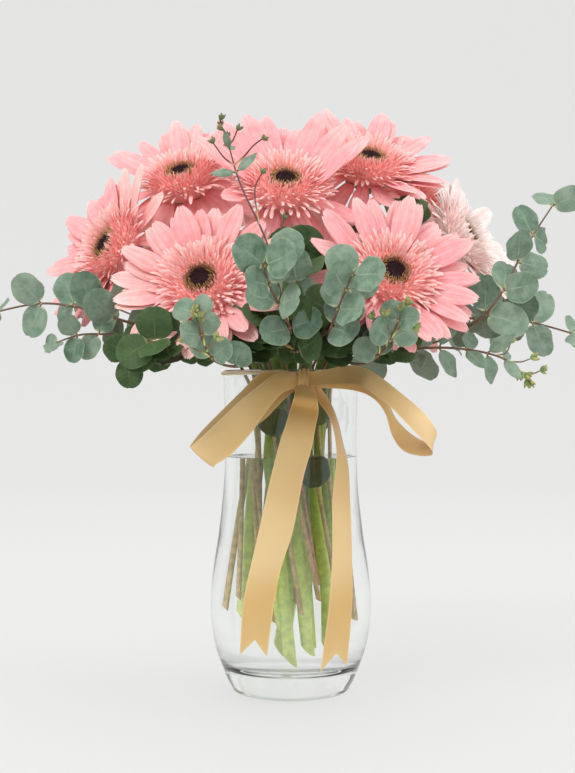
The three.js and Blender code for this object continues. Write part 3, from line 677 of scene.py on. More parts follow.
def makeSlots():
    made = []
    for k in range(stemShape["slotCount"]):
        radius = stemShape["slotSpread"] * math.sqrt(k + 0.5)
        angle = math.radians(goldenTurn * k)
        made.append({"place": vec([radius * math.cos(angle), radius * math.sin(angle)]), "free": True})
    return made


slots = makeSlots()


def takeSlot(target, share, limit):
    lean = min(share, limit / math.hypot(target[0], target[1]))
    free = [slot for slot in slots if slot["free"]]
    best = min(free, key=lambda slot: np.linalg.norm(slot["place"] - target[:2] * lean))
    best["free"] = False
    return best["place"]


def lowerRun(slot, footHeight):  # the cut end in the water, the neck, and the fanned place above the rim
    shape = stemShape
    turn = math.radians(shape["footTurn"])
    x, y = slot
    foot = vec([x * math.cos(turn) - y * math.sin(turn), x * math.sin(turn) + y * math.cos(turn), 0])
    foot = foot * shape["footSpread"] + vec([0, 0, shape["footPlane"]])
    neck = vec([x, y, shape["gatherHeight"]])
    share = (footHeight - shape["footPlane"]) / (shape["gatherHeight"] - shape["footPlane"])
    foot = foot + (neck - foot) * share
    spread = shape["exitSpread"]
    return foot, neck, vec([spread * x, spread * y, shape["exitHeight"]])


# Gerbera heads: turn swings a head to the right of the front, up tips it to the sky, a head of higher rank
# lies over one of lower rank, and foot is the height of its stalk's cut end. The paleness of a head's rays
# comes with the side, in degrees, where they are paler still

blooms = [
    {"name": "front_left", "at": [-50.6, -78, 248], "turn": -12, "up": 28, "reach": 53, "rank": 10,
     "foot": 30},
    {"name": "left", "at": [-108.4, -35, 272.3], "turn": -52, "up": 22, "reach": 54, "rank": 6, "foot": 24},
    {"name": "top_left", "at": [-67, -12, 318], "turn": -18, "up": 52, "reach": 57, "rank": 5, "foot": 44},
    {"name": "top_centre", "at": [-3.5, -45, 308.6], "turn": 4, "up": 46, "reach": 61, "rank": 8,
     "foot": 34},
    {"name": "top_right", "at": [49, 0, 329], "turn": 14, "up": 52, "reach": 54, "rank": 7, "foot": 50},
    {"name": "back_right", "at": [84, 86, 257], "turn": 135, "up": 28, "reach": 50, "rank": 0, "foot": 26},
    {"name": "right_pale", "at": [107, -2, 282], "turn": 62, "up": 28, "reach": 56, "rank": 4, "foot": 28},
    {"name": "front_right", "at": [57.5, -75, 252.5], "turn": 15, "up": 30, "reach": 55, "rank": 9,
     "foot": 32},
    {"name": "back_left", "at": [-72, 62, 300], "turn": -130, "up": 50, "reach": 50, "rank": 2, "foot": 46},
    {"name": "back", "at": [0, 75, 288], "turn": 180, "up": 35, "reach": 52, "rank": 1, "foot": 36},
    {"name": "behind_right", "at": [80, 56, 317], "turn": 100, "up": 60, "reach": 46, "rank": 3, "foot": 38},
]
bloomPaleness = {"left": (0.2, 40), "top_left": (0.2, 0), "right_pale": (0.6, 150), "front_left": (0.3, 230)}

rayShape = {
    "width": 14, "standardReach": 54, "root": 12, "narrowRoot": 0.3, "widest": 0.55, "rounding": 0.47,
    "thickness": 0.45, "rows": [0, 0.1, 0.22, 0.35, 0.48, 0.6, 0.71, 0.81, 0.89, 0.95, 0.985, 1.005],
    "cols": [-1, -0.83, -0.67, -0.5, -0.33, -0.17, 0, 0.17, 0.33, 0.5, 0.67, 0.83, 1], "tooth": 0.014,
    "groove": 0.36, "grooveLeast": 0.4, "cup": (-0.9, 2.9), "curl": 2.6, "curlBias": 0.6,
    "curlStart": 0.45, "twist": 1.2, "paleness": 0.12, "sidePaleness": 0.8, "toneSway": 0.5,
    "toneBias": 0.4, "calm": 0.65, "liftStep": 6, "liftSteps": 9, "shorten": 0.88, "shortenings": 6,
}
rayLayers = {  # lifts and bases of lower and upper rays, then bend, length and width as least and spread
    "rays": {"count": 16, "shift": 0, "sway": 0.3, "lifts": (15, 28), "liftSway": 6, "bases": (-7.4, -6.3),
             "draws": [(6, 10), (0.94, 0.1), (0.92, 0.16)]},
    "extras": {"count": 20, "shift": 0.5, "sway": 0.5, "lifts": (19.5, 24), "liftSway": 2,
               "bases": (-6.9, -6.3), "draws": [(6, 10), (0.82, 0.18), (0.72, 0.22)]},
}
coreShape = {
    "fringeReach": 27.5, "front": 12, "back": 15, "nearby": 8, "calyxDepth": 22, "headGap": 0.5,
    "layering": 0.5, "sides": 40, "tone": 0.12,
    "profile": [(0, -12), (11, -11.6), (17, -9), (20.4, -5), (20.6, -1), (18, 1.2), (13, 3.2), (9.2, 3.8),
                (8.4, 1.5), (0, 1.5)],
    "roots": [(8.4, 3.4), (9.2, 3.8), (13, 3.2), (18, 1.2), (21, -1.5)],
}


def setFrame(bloom):
    turn = math.radians(bloom["turn"])
    tip = math.radians(bloom["up"])
    flat = math.cos(tip)
    facing = vec([math.sin(turn) * flat, -math.cos(turn) * flat, math.sin(tip)])
    side = vec([math.cos(turn), math.sin(turn), 0])
    bloom["axes"] = (vec(bloom["at"]), side, np.cross(facing, side), facing)
    bloom["centre"], bloom["side"], bloom["rise"], bloom["facing"] = bloom["axes"]


def fromBloom(bloom, x, y, height):
    x, y, height = (np.asarray(v, float)[..., None] for v in (x, y, height))
    return bloom["centre"] + x * bloom["side"] + y * bloom["rise"] + height * bloom["facing"]


def roundBloom(bloom, angle, out, wide, height):  # out from the axis at an angle, and wide to one side
    cos, sin = math.cos(angle), math.sin(angle)
    return fromBloom(bloom, out * cos - wide * sin, out * sin + wide * cos, height)


def outwardOf(bloom, angle):
    return bloom["side"] * math.cos(angle) + bloom["rise"] * math.sin(angle)


def coreReach(bloom, direction):  # how far a head's core reaches along a direction
    along = direction.dot(bloom["facing"])
    across = math.sqrt(max(0, 1 - along * along))
    deep = max(coreShape["front"] * along, -coreShape["back"] * along)
    return direction.dot(bloom["centre"]) + coreShape["fringeReach"] * across + deep


def setPlanes(bloom):  # a plane between each two neighbours keeps their rays apart
    bloom["planes"] = []
    for other in blooms:
        apart = bloom["centre"] - other["centre"]
        reach = bloom["reach"] + other["reach"] + coreShape["nearby"]
        if other is bloom or np.linalg.norm(apart) > reach:
            continue
        lean = unit(bloom["facing"] + other["facing"])
        over = bloom["rank"] > other["rank"]
        normal = unit(unit(apart) + lean * coreShape["layering"] * (1 if over else -1))
        offset = (coreReach(other, normal) - coreReach(bloom, -normal)) / 2
        bloom["planes"].append((normal, offset, over))


def rayLine(ray, s):
    slope = np.radians(ray["lift"] - ray["bend"] * s * 0.5)
    out = rayShape["root"] + ray["length"] * s * np.cos(slope)
    return out, ray["base"] + ray["length"] * s * np.sin(slope)


def rayHalfWidth(ray, s):
    root, widest, rounding = rayShape["narrowRoot"], rayShape["widest"], rayShape["rounding"]
    rising = root + (1 - root) * s / widest
    falling = np.sqrt(np.maximum(0, 1 - ((s - widest) / rounding) ** 2))
    return ray["width"] / 2 * np.where(s < widest, rising, falling)


def onRay(bloom, ray, s, across, lift=0.0):
    out, height = rayLine(ray, s)
    return roundBloom(bloom, ray["angle"], out, rayHalfWidth(ray, s) * across, height + lift)


rayTests = [axis.ravel() for axis in meshed([0.4, 0.6, 0.8, 0.92, 1], [-1, 0, 1])]


def worstPlane(bloom, ray):  # the plane that a ray reaches furthest past, if any
    points = onRay(bloom, ray, *rayTests)
    worst, depth = None, 0
    for plane in bloom["planes"]:
        past = plane[1] + coreShape["headGap"] - (points @ plane[0]).min()
        if past > depth:
            worst, depth = plane, past
    return worst


def fitRay(bloom, ray):  # a ray in a neighbour's way rises over it or sinks under it, or grows shorter
    shape = rayShape
    lift = ray["lift"]
    plane = worstPlane(bloom, ray)
    if plane is None:
        return
    sign = 1 if plane[2] else -1
    for _ in range(shape["shortenings"] + 1):
        for step in range(1, shape["liftSteps"] + 1):
            ray["lift"] = lift + sign * step * shape["liftStep"]
            if worstPlane(bloom, ray) is None:
                return
        ray["length"] *= shape["shorten"]


def setRays(bloom, name, seed):  # full rays are fitted between the neighbours, extras grow in free places
    random = seededRandom(seed)
    layer = rayLayers[name]
    bloom[name] = []
    for i in range(layer["count"]):
        angle = i + layer["shift"] + swayed(random, layer["sway"])
        jitter = swayed(random, layer["liftSway"])
        ray = {"angle": 2 * math.pi * angle / layer["count"], "lift": layer["lifts"][i % 2] + jitter,
               "base": layer["bases"][i % 2]}
        bend, long, wide = (between(random, *draw) for draw in layer["draws"])
        ray["bend"] = bend
        ray["length"] = (bloom["reach"] - rayShape["root"]) * long
        ray["width"] = rayShape["width"] * wide * bloom["reach"] / rayShape["standardReach"]
        if name == "rays":
            fitRay(bloom, ray)
            ray["lift"] -= jitter * rayShape["calm"]
        elif worstPlane(bloom, ray):
            continue
        bloom[name].append(ray)


def addRay(gather, bloom, ray, random, paleness):
    shape = rayShape
    s, across = meshed(shape["rows"], shape["cols"])
    cup = between(random, *shape["cup"])
    curl = shape["curl"] * (random() - shape["curlBias"])
    twist = swayed(random, shape["twist"])
    swell = np.sin(np.pi * np.clip(s, 0, 1) ** 0.8) * 0.7 + 0.3 * s
    lift = cup * (across ** 2 - 0.35) * swell
    ridges = np.cos(3 * math.pi * across)  # three ridges, and a tooth at the end of each
    lift = lift + shape["groove"] * (shape["grooveLeast"] + random()) * ridges * swell
    lift = lift + curl * np.clip(s - shape["curlStart"], 0, 1) ** 2 * 3 + twist * across * s
    teeth = shape["tooth"] * ridges * np.clip(s * 8 - 7, 0, 1)
    grid = onRay(bloom, ray, np.minimum(s, 1.004), across, lift)
    grid = grid + (onRay(bloom, ray, s + teeth, 0) - onRay(bloom, ray, s, 0))
    tone = min(1.0, max(0.0, paleness + shape["toneSway"] * (random() - shape["toneBias"])))
    addSheet(gather, grid, bladeOf(across, s, tone), shape["thickness"], "petal", "back")


# The fringe: rings of narrow florets from the eye out to the rays, each ring as radius, count, tilt, length
# and width

fringeShape = {
    "rings": [(9.2, 34, 102, 4.0, 1.0), (10.2, 36, 92, 5.2, 1.1), (11.5, 38, 82, 6.6, 1.2),
              (12.9, 40, 73, 8.0, 1.35), (14.4, 42, 64, 9.2, 1.5), (15.9, 42, 55, 10.2, 1.6),
              (17.4, 42, 46, 10.8, 1.7), (18.8, 40, 37, 11.2, 1.8), (20.0, 38, 28, 11.4, 1.9),
              (20.8, 34, 19, 11.6, 2.1)],
    "bend": 12, "bendSway": 50, "bendBias": 0.4, "sway": 36, "sunk": 0.8, "steps": [0, 0.28, 0.55, 0.8, 1],
    "widths": [0.5, 0.8, 1.0, 0.9, 0.45], "keel": 0.3, "notch": 0.1, "paleLength": 1.2,
    "placeSway": 0.8, "radiusSway": 1.3, "tiltSway": 20, "lengths": (0.75, 0.45), "breadths": (0.8, 0.4),
}


def addFloret(gather, bloom, angle, radius, tilt, length, width, random):
    shape = fringeShape
    steps = shape["steps"]
    bend = shape["bend"] + shape["bendSway"] * (random() - shape["bendBias"])
    sway = math.radians(swayed(random, shape["sway"]))
    tone = random()
    height = float(np.interp(radius, *np.array(coreShape["roots"]).T)) - shape["sunk"]
    point = roundBloom(bloom, angle, radius, 0, height)
    points = []
    last = 0
    for s, share in zip(steps, shape["widths"]):
        turn = angle + sway * s
        outward = outwardOf(bloom, turn)
        across = bloom["rise"] * math.cos(turn) - bloom["side"] * math.sin(turn)
        slope = math.radians(tilt - bend * s * s)
        direction = outward * math.cos(slope) + bloom["facing"] * math.sin(slope)
        above = bloom["facing"] * math.cos(slope) - outward * math.sin(slope)
        point = point + direction * length * (s - last)
        last = s
        wide = width * share / 2
        keel = point - above * wide * 2 * shape["keel"]
        if s == 1:
            keel = keel - direction * length * shape["notch"]
        points += [point - across * wide, point + across * wide, keel]
    if any(point.dot(normal) < offset for normal, offset, _ in bloom["planes"]):
        return
    end = 3 * (len(steps) - 1)
    faces = [(0, 1, 2), (end, end + 2, end + 1)]
    for i in range(0, end, 3):
        faces += [(i, i + 3, i + 4, i + 1), (i + 1, i + 4, i + 5, i + 2), (i + 2, i + 5, i + 3, i)]
    gather.add(points, [(side, s, tone) for s in steps for side in (-1, 1, 0)], (faces, "floret"))


def makeHead(bloom, seed):
    random = seededRandom(seed)
    shape = fringeShape
    gather = Gather()
    paleness, side = bloomPaleness.get(bloom["name"], (rayShape["paleness"], 0))
    for ray in bloom["rays"] + bloom["extras"]:
        more = max(0, math.cos(ray["angle"] - math.radians(side))) if side else 0
        addRay(gather, bloom, ray, random, paleness + rayShape["sidePaleness"] * more)
    core = coreShape
    addLathe(gather, core["profile"], core["sides"], "floret", bloom["axes"], along=core["tone"])
    pale = bloom["name"] == "right_pale"
    tall = shape["paleLength"] if pale else 1
    for radius, count, tilt, length, width in shape["rings"]:
        start = random()
        for i in range(count):
            angle = 2 * math.pi * (i + start + swayed(random, shape["placeSway"])) / count
            place = radius + swayed(random, shape["radiusSway"])
            lean = tilt + swayed(random, shape["tiltSway"])
            long = tall * length * between(random, *shape["lengths"])
            wide = width * between(random, *shape["breadths"])
            addFloret(gather, bloom, angle, place, lean, long, wide, random)
    petal, floret, back = (palePetal, paleFloret, palePetal) if pale else (pinkPetal, pinkFloret, backPetal)
    materials = {"petal": petal, "floret": floret, "back": back}
    makePiece("head_" + bloom["name"], gather, materials, "bloom_" + bloom["name"], sharp=60)


# The eye: a dark dome of tiny closed florets inside a ring of tan threads, rows of them as radius and tilt

eyeShape = {
    "dome": [(0, 0.4), (8.0, 0.4), (8.0, 2.6), (6.6, 3.9), (4.4, 4.6), (2.0, 4.5), (0, 4.2)],
    "domeSides": 30, "budCount": 90, "budReach": 6.4, "budSides": 5, "budSize": 0.42, "budGrowth": 0.25,
    "threads": 60, "threadLength": 4.6, "threadRoot": 2.4, "threadRadii": [0.2, 0.17, 0.2, 0.08],
    "threadSides": 3, "threadTurns": (0, 12, 26), "threadRows": [(7.2, 94), (7.9, 85), (8.5, 76), (9.0, 64)],
    "placeSway": 0.6, "tiltSway": 20, "lengths": (0.7, 0.5),
}


def makeEye(bloom, seed):
    random = seededRandom(seed)
    shape = eyeShape
    gather = Gather()
    addLathe(gather, shape["dome"], shape["domeSides"], "dark", bloom["axes"])
    surface = np.array(shape["dome"][:2:-1]).T
    for k in range(shape["budCount"]):
        radius = shape["budReach"] * math.sqrt((k + 0.5) / shape["budCount"])
        height = float(np.interp(radius, *surface))
        centre = roundBloom(bloom, math.radians(goldenTurn * k), radius, 0, height)
        size = shape["budSize"] + shape["budGrowth"] * radius / shape["budReach"]
        bud = [(0, -0.5), (size, -0.3), (size * 0.9, size), (size * 0.35, size * 1.9), (0, size * 2.1)]
        addLathe(gather, bud, shape["budSides"], "dark", (centre, *bloom["axes"][1:]), random())
    count = shape["threads"]
    for row, (radius, tilt) in enumerate(shape["threadRows"]):
        for i in range(count):
            angle = 2 * math.pi * (i + 0.5 * row + swayed(random, shape["placeSway"])) / count
            length = shape["threadLength"] * between(random, *shape["lengths"])
            addThread(gather, bloom, angle, radius, tilt + swayed(random, shape["tiltSway"]), length)
    materials = {"dark": eyeDark, "tan": eyeTan}
    makePiece("eye_" + bloom["name"], gather, materials, "disc_" + bloom["name"])


def addThread(gather, bloom, angle, radius, tilt, length):
    outward = outwardOf(bloom, angle)
    path = [roundBloom(bloom, angle, radius, 0, eyeShape["threadRoot"])]
    for turn in eyeShape["threadTurns"]:
        slope = math.radians(tilt + turn)
        direction = outward * math.cos(slope) + bloom["facing"] * math.sin(slope)
        path.append(path[-1] + direction * length / 3)
    addTube(gather, path, eyeShape["threadRadii"], eyeShape["threadSides"], "tan")


# Stalks: straight to the neck, then a curve that meets the head square on, with green scales under it in
# rows of radius, height and count

stalkShape = {
    "radiusLow": 3.35, "radiusHigh": 2.9, "sides": 12, "slant": 1.2, "leaving": 0.3, "meeting": 0.38,
    "calyx": [(0, -21.6), (3.0, -21.6), (4.2, -20.6), (6.6, -17.6), (9.6, -13.8), (13.2, -11.4), (17, -9.4),
              (17.5, -8.2), (0, -8.2)],
    "calyxSides": 24, "scaleRows": [(6.2, -19.0, 11), (8.6, -16.0, 12)], "scaleLength": 9.0,
    "scaleWidth": 3.6, "scaleSteps": [0, 0.3, 0.6, 0.85, 1], "scaleWidths": [0.9, 1, 0.8, 0.45, 0.06],
    "scaleOut": 0.72, "scaleUp": 0.62, "scaleThickness": 0.5, "scaleGap": 0.9, "scaleCup": 0.3,
    "scaleSway": 0.3, "straightSteps": 14, "curvedSteps": 18, "softenings": 3,
}


def stalkPoints(bloom):
    shape = stalkShape
    end = fromBloom(bloom, 0, 0, 3 - coreShape["calyxDepth"])
    foot, neck, leave = lowerRun(takeSlot(end, *stemShape["stalkLean"]), bloom["foot"])
    span = np.linalg.norm(end - leave)
    bloom["bezier"] = [leave, leave + unit(leave - neck) * span * shape["leaving"],
                       end - bloom["facing"] * span * shape["meeting"], end]
    return [foot, neck] + [onBezier(bloom["bezier"], t) for t in (0, 0.25, 0.5, 0.75, 1)]


def onBezier(points, t):
    a, b, c, d = points
    u = 1 - t
    return a * u ** 3 + 3 * b * u * u * t + 3 * c * u * t * t + d * t ** 3


def makeStalk(bloom, seed):
    random = seededRandom(seed)
    shape = stalkShape
    gather = Gather()
    foot, neck = bloom["points"][:2]
    straight = [foot + (neck - foot) * t for t in np.linspace(0, 1, shape["straightSteps"])]
    curved = [onBezier(bloom["bezier"], t) for t in np.linspace(0, 1, shape["curvedSteps"])]
    path = softened(straight + curved, shape["softenings"])
    radii = np.linspace(shape["radiusLow"], shape["radiusHigh"], len(path))
    addTube(gather, path, radii, shape["sides"], "stalk", random(), shape["slant"], "cut")
    addLathe(gather, shape["calyx"], shape["calyxSides"], "calyx", bloom["axes"])
    for radius, height, count in shape["scaleRows"]:
        for i in range(count):
            angle = 2 * math.pi * (i + shape["scaleSway"] * random() + radius) / count
            addScale(gather, bloom, angle, radius, height)
    materials = {"stalk": stalkGreen, "calyx": calyxGreen, "cut": cutEnd}
    makePiece("stem_" + bloom["name"], gather, materials, "stalk_" + bloom["name"])


def addScale(gather, bloom, angle, radius, height):  # one pointed green scale of the cup under the head
    shape = stalkShape
    s, across = meshed(shape["scaleSteps"], [-1, 0, 1])
    wide = shape["scaleWidth"] / 2 * np.interp(s, shape["scaleSteps"], shape["scaleWidths"]) * across
    out = radius + shape["scaleGap"] + shape["scaleLength"] * s * shape["scaleOut"]
    out = out + shape["scaleCup"] * np.abs(across)
    up = height + shape["scaleLength"] * s * shape["scaleUp"]
    grid = roundBloom(bloom, angle, out, wide, up)[::-1]
    addSheet(gather, grid, bladeOf(across, 1 - s, 0), shape["scaleThickness"], "calyx", "calyx")


for bloom in blooms:
    setFrame(bloom)
for number, bloom in enumerate(blooms):
    setPlanes(bloom)
    setRays(bloom, "rays", seeds["rays"] + number)
    setRays(bloom, "extras", seeds["extras"] + number)
    bloom["points"] = stalkPoints(bloom)
    makeHead(bloom, seeds["head"] + number)
    makeEye(bloom, seeds["eye"] + number)
    makeStalk(bloom, seeds["stalk"] + number)
print("heads made:", len(blooms))

# Eucalyptus: each spray's route outside the vase, the places of its leaf pairs along it counted in route
# points, the leaf length from first to last, the way the leaves look and the roll of the first pair

front = [0, -1, 0.25]
fromLeft = [-0.2, -1, 0.2]
fromRight = [0.2, -1, 0.2]
sprayDefaults = {"pairs": [1, 1.7, 2.4, 3], "leaf": [25, 20], "look": front, "slim": 1, "narrow": False,
                 "dark": False, "buds": None}
sprays = [{**sprayDefaults, **spray} for spray in [
    {"name": "top_twig", "pairs": [3.3, 4], "leaf": [15, 13], "roll": 10, "foot": 68, "narrow": True,
     "buds": 4.4,
     "route": [[-5, -106, 234], [-13, -115, 266], [-28, -101, 300], [-34, -95, 320], [-40, -91, 338]]},
    {"name": "low_centre", "pairs": [0.7, 1.3, 2], "leaf": [24, 20], "roll": 0, "foot": 70, "dark": True,
     "route": [[0, -70, 209], [4, -92, 208]]},
    {"name": "front_middle_left", "pairs": [1.3, 2, 2.6, 3.3, 4], "leaf": [20, 21], "roll": 20, "foot": 60,
     "route": [[0, -90, 217], [-7, -116, 233], [-14, -123, 249], [-12, -125, 262]]},
    {"name": "front_middle_right", "pairs": [1, 1.7, 2.4, 3.2, 4], "leaf": [22, 20], "roll": -30,
     "foot": 40,
     "route": [[20, -88, 214], [23, -114, 225], [28, -122, 238], [33, -125, 249]]},
    {"name": "front_right_budded", "pairs": [0.9, 1.7, 2.5, 3.3], "leaf": [20, 15], "roll": 10, "foot": 66,
     "buds": 3.4,
     "route": [[38, -90, 201], [50, -110, 208], [56, -117, 220], [62, -117, 234]]},
    {"name": "front_left_budded", "pairs": [1.2, 2.1, 3, 4], "leaf": [18, 13], "roll": 30, "foot": 52,
     "buds": 3.5,
     "route": [[-29, -88, 200], [-42, -117, 203], [-48, -126, 216], [-51, -128, 229]]},
    {"name": "left_dark", "pairs": [1.2, 2, 3, 4], "leaf": [20, 17], "look": [-0.3, -1, 0.2], "roll": 40,
     "foot": 48, "dark": True,
     "route": [[-48, -58, 205], [-66, -74, 208], [-82, -82, 209], [-92, -83, 205]]},
    {"name": "left_low", "pairs": [1.4, 2, 2.6, 3.2, 4], "leaf": [21, 15], "look": fromLeft, "roll": 60,
     "slim": 0.8, "foot": 36,
     "route": [[-65, -46, 213], [-97, -58, 218], [-120, -62, 219], [-136, -64, 214]]},
    {"name": "left_long", "pairs": [2.1, 2.7, 3.2, 4, 5, 6], "leaf": [26, 20], "look": fromLeft, "roll": 70,
     "slim": 0.8, "foot": 56,
     "route": [[-68, -50, 219], [-98, -66, 227], [-120, -66, 234], [-145, -60, 237],
               [-170, -54, 233], [-184, -50, 229]]},
    {"name": "right_low", "pairs": [1.2, 1.8, 2.4, 3, 3.6], "leaf": [27, 17], "look": fromRight, "roll": 50,
     "foot": 44, "narrow": True, "slim": 1.3, "buds": 4.4,
     "route": [[64, -62, 210], [90, -68, 211], [113, -66, 208], [128, -62, 202], [139, -60, 191]]},
    {"name": "right_long", "pairs": [2, 2.6, 3.2, 4, 5], "leaf": [26, 22], "look": fromRight, "roll": 75,
     "slim": 0.8, "foot": 62,
     "route": [[79, -26, 221], [109, -28, 230], [141, -20, 229], [171, -14, 222], [187, -10, 217]]},
    {"name": "right_high", "pairs": [2.4, 3.1, 4, 5, 6], "leaf": [26, 19], "look": [0.2, -1, 0.1],
     "roll": 20, "slim": 0.8, "foot": 54,
     "route": [[64, -34, 217], [104, -56, 224], [121, -64, 242], [132, -57, 261],
               [143, -46, 278], [157, -38, 298]]},
    {"name": "middle_dark", "pairs": [1, 2, 3], "leaf": [24, 24], "look": [0.1, -1, 0.5], "roll": 0,
     "foot": 46, "dark": True,
     "route": [[30, -6, 245], [52, -20, 275], [66, -26, 297]]},
    {"name": "back_left", "look": [-0.4, 0.9, 0.3], "roll": 30, "foot": 58,
     "route": [[-62, 52, 222], [-104, 62, 236], [-132, 64, 248]]},
    {"name": "back_middle", "look": [0, 1, 0.3], "roll": 0, "foot": 50,
     "route": [[-24, 74, 222], [-42, 100, 240], [-48, 112, 258]]},
    {"name": "back_right", "look": [0.4, 0.9, 0.3], "roll": 50, "foot": 42,
     "route": [[50, 78, 214], [62, 116, 224], [66, 134, 238]]},
    {"name": "back_low", "look": [0.8, 0.5, 0.2], "roll": 20, "foot": 38,
     "route": [[78, 36, 214], [112, 46, 224], [140, 44, 236]]},
]]
twigDefaults = {**sprayDefaults, "pairs": [0.8, 1.4, 2, 2.6, 3], "leaf": [24, 22], "dark": True}
sideTwigs = [{**twigDefaults, **twig} for twig in [
    {"parent": "low_centre", "from": 0.5, "leaf": [23, 25], "roll": 25,
     "route": [[-8, -70, 216], [-14, -84, 224], [-16, -92, 234]]},
    {"parent": "low_centre", "from": 0.5, "leaf": [23, 25], "roll": 60,
     "route": [[14, -72, 214], [20, -86, 220], [24, -94, 230]]},
    {"parent": "front_middle_left", "from": 0.4, "roll": 10,
     "route": [[-22, -74, 212], [-34, -88, 213], [-42, -98, 209]]},
    {"parent": "front_middle_right", "from": 0.5, "roll": 40,
     "route": [[36, -74, 211], [48, -88, 212], [56, -98, 208]]},
    {"parent": "left_dark", "from": 0.8, "leaf": [21, 20], "roll": 0,
     "route": [[-58, -78, 207], [-70, -92, 211], [-78, -100, 214]]},
    {"parent": "right_low", "from": 0.3, "leaf": [17, 17], "look": [0, -1, 0.5], "roll": 20,
     "route": [[46, -76, 209], [53, -88, 212], [58, -94, 213]]},
    {"parent": "front_middle_left", "from": 0.15, "pairs": [0.6, 1, 1.6, 2.2, 3], "leaf": [21, 22],
     "roll": 35,
     "route": [[-10, -56, 211], [-22, -64, 213], [-31, -72, 214]]},
    {"parent": "low_centre", "from": 0.3, "pairs": [0.6, 1, 1.6, 2.2, 3], "leaf": [21, 22], "roll": 5,
     "route": [[10, -57, 209], [19, -65, 210], [28, -72, 210]]},
    {"parent": "middle_dark", "from": 0.6, "leaf": [22, 24], "roll": 30,
     "route": [[14, -40, 238], [8, -62, 250], [4, -76, 260]]},
    {"parent": "front_middle_left", "from": 1.5, "pairs": [0.8, 1.4, 2], "leaf": [22, 22], "roll": 50,
     "dark": False,
     "route": [[-2, -96, 236], [4, -100, 246]]},
    {"parent": "back_left", "from": 0.6, "pairs": [1, 1.6, 2.3, 3], "leaf": [24, 24],
     "look": [-0.2, 1, 0.3], "roll": 20,
     "route": [[-74, 72, 232], [-84, 88, 246], [-88, 98, 262]]},
    {"parent": "back_middle", "from": 0.6, "pairs": [1, 1.6, 2.3, 3], "leaf": [24, 24], "look": [0, 1, 0.3],
     "roll": 60,
     "route": [[-4, 84, 232], [8, 104, 236], [14, 116, 244]]},
]]
twiglets = {
    "top_twig": [(3.5, [[-37, -99, 315], [-43, -99, 323]]), (4.1, [[-32, -95, 326], [-30, -95, 331]]),
                 (3.5, [[-26, -98, 316], [-21, -97, 322], [-16, -96, 326]]),
                 (2.3, [[-20, -105, 296], [-16, -103, 306]]), (1.4, [[-7, -117, 266], [-4, -116, 279]])],
    "front_left_budded": [(2.6, [[-47, -129, 219], [-48, -131, 225]]),
                          (2.2, [[-52, -127, 209], [-56, -129, 212]]),
                          (2.4, [[-43, -128, 210], [-40, -130, 213]])],
    "front_right_budded": [(1.8, [[47, -116, 219], [44, -118, 225]]),
                           (2.2, [[52, -118, 219], [51, -120, 226]]),
                           (2.6, [[60, -119, 222], [65, -120, 221]])],
    "right_low": [(3.2, [[124, -63, 208], [127, -64, 214]]), (3.8, [[133, -62, 203], [139, -62, 205]]),
                  (4.4, [[139, -61, 196], [145, -60, 198]])],
}
twigShape = {
    "stemSides": 8, "stemSlant": 0.8, "stemTaper": (0.95, 0.65, 0.6), "radius": 0.9, "taper": (1.1, 0.6),
    "sides": 7, "twigletRadius": 0.5, "twigletTaper": (1.1, 0.8), "twigletSides": 6, "closest": 0.35,
    "straightSteps": 12, "curvedSteps": 10, "softenings": 2, "twigSteps": 8, "twigletSteps": 5,
    "twigStart": -0.3, "twigletStart": -0.2,
    "tufts": 4, "tuftRoll": 137, "tuftLean": 40, "tuftBuds": 8, "tuftTurn": 0.382, "tuftSpread": 0.65,
    "budLength": 4.8, "budSides": 7, "budSteps": (0, 0.3, 0.6, 0.85, 1),
    "budRadii": [0.3, 0.8, 0.9, 0.5, 0.1], "budLengths": (0.7, 0.5), "darkLength": 0.8,
    "darkTone": (0, 0.3), "freshTone": (0.6, 0.4),
}
neckShape = {"from": 35.2, "stalk": [(11, 6), (4, 3), (0, 0)], "radii": [0.9, 0.8, 0.7]}
neckLeaves = [{**neckShape, **leaf} for leaf in [
    {"turn": -125, "height": 189, "lean": 0.15, "size": 21},
    {"turn": -103, "height": 178, "lean": -0.2, "size": 19},
    {"turn": -66, "height": 184, "lean": 0.2, "size": 19},
    {"turn": -70, "height": 149, "lean": 0.1, "size": 21, "from": 36.2},
    {"turn": 100, "height": 186, "lean": 0.1, "size": 20},
    {"turn": 60, "height": 178, "lean": -0.1, "size": 19},
]]
leafRoom = {
    "toRay": 4.6, "toCore": 27, "toStem": 3.4, "toOther": 5.2, "toOwn": 3.6, "thin": 10, "twigRoom": 0.6,
    "rimHeight": 203, "rimReach": 47, "bowHeight": 201, "bowHalfWidth": 70, "leastOpen": 0.5, "endOn": 0.35,
    "endOnTip": 0.6, "lastRoot": 0.08, "tests": (0.3, 0.55, 0.8, 1), "testSide": 0.4, "scales": (1, 0.8),
    "rayAlong": (0.3, 0.5, 0.7, 0.85, 1), "rayAcross": (-0.9, 0, 0.9), "coreHeights": (-14, -4, 6),
    "stemStep": 4,
    "folds": (0, -22, 22, 44), "turns": (0, 20, -20, 40, -40, 60, -60, 80, -80),
}
leafShape = {
    "thickness": 0.4, "rows": [0.006, 0.04, 0.11, 0.22, 0.36, 0.5, 0.64, 0.77, 0.88, 0.955, 0.992],
    "cols": [-1, -0.8, -0.5, -0.2, 0.2, 0.5, 0.8, 1], "roundWidth": 0.49, "narrowWidth": 0.17,
    "petiole": 0.08, "petioleRadii": [0.75, 0.6, 0.35], "petioleSides": 6, "petioleTone": 0.8,
    "fold": 0.09, "droop": 0.14, "wave": 0.035, "notch": 0.02, "wobble": 0.035, "pairTurn": 54,
    "narrowTurn": 90, "rollSway": 16, "spread": 62, "spreadSway": 14, "sizes": (0.92, 0.16),
    "folds": (-0.4, 1.4), "droopBias": 0.3, "waves": 1.2, "notchLeast": 0.6,
}


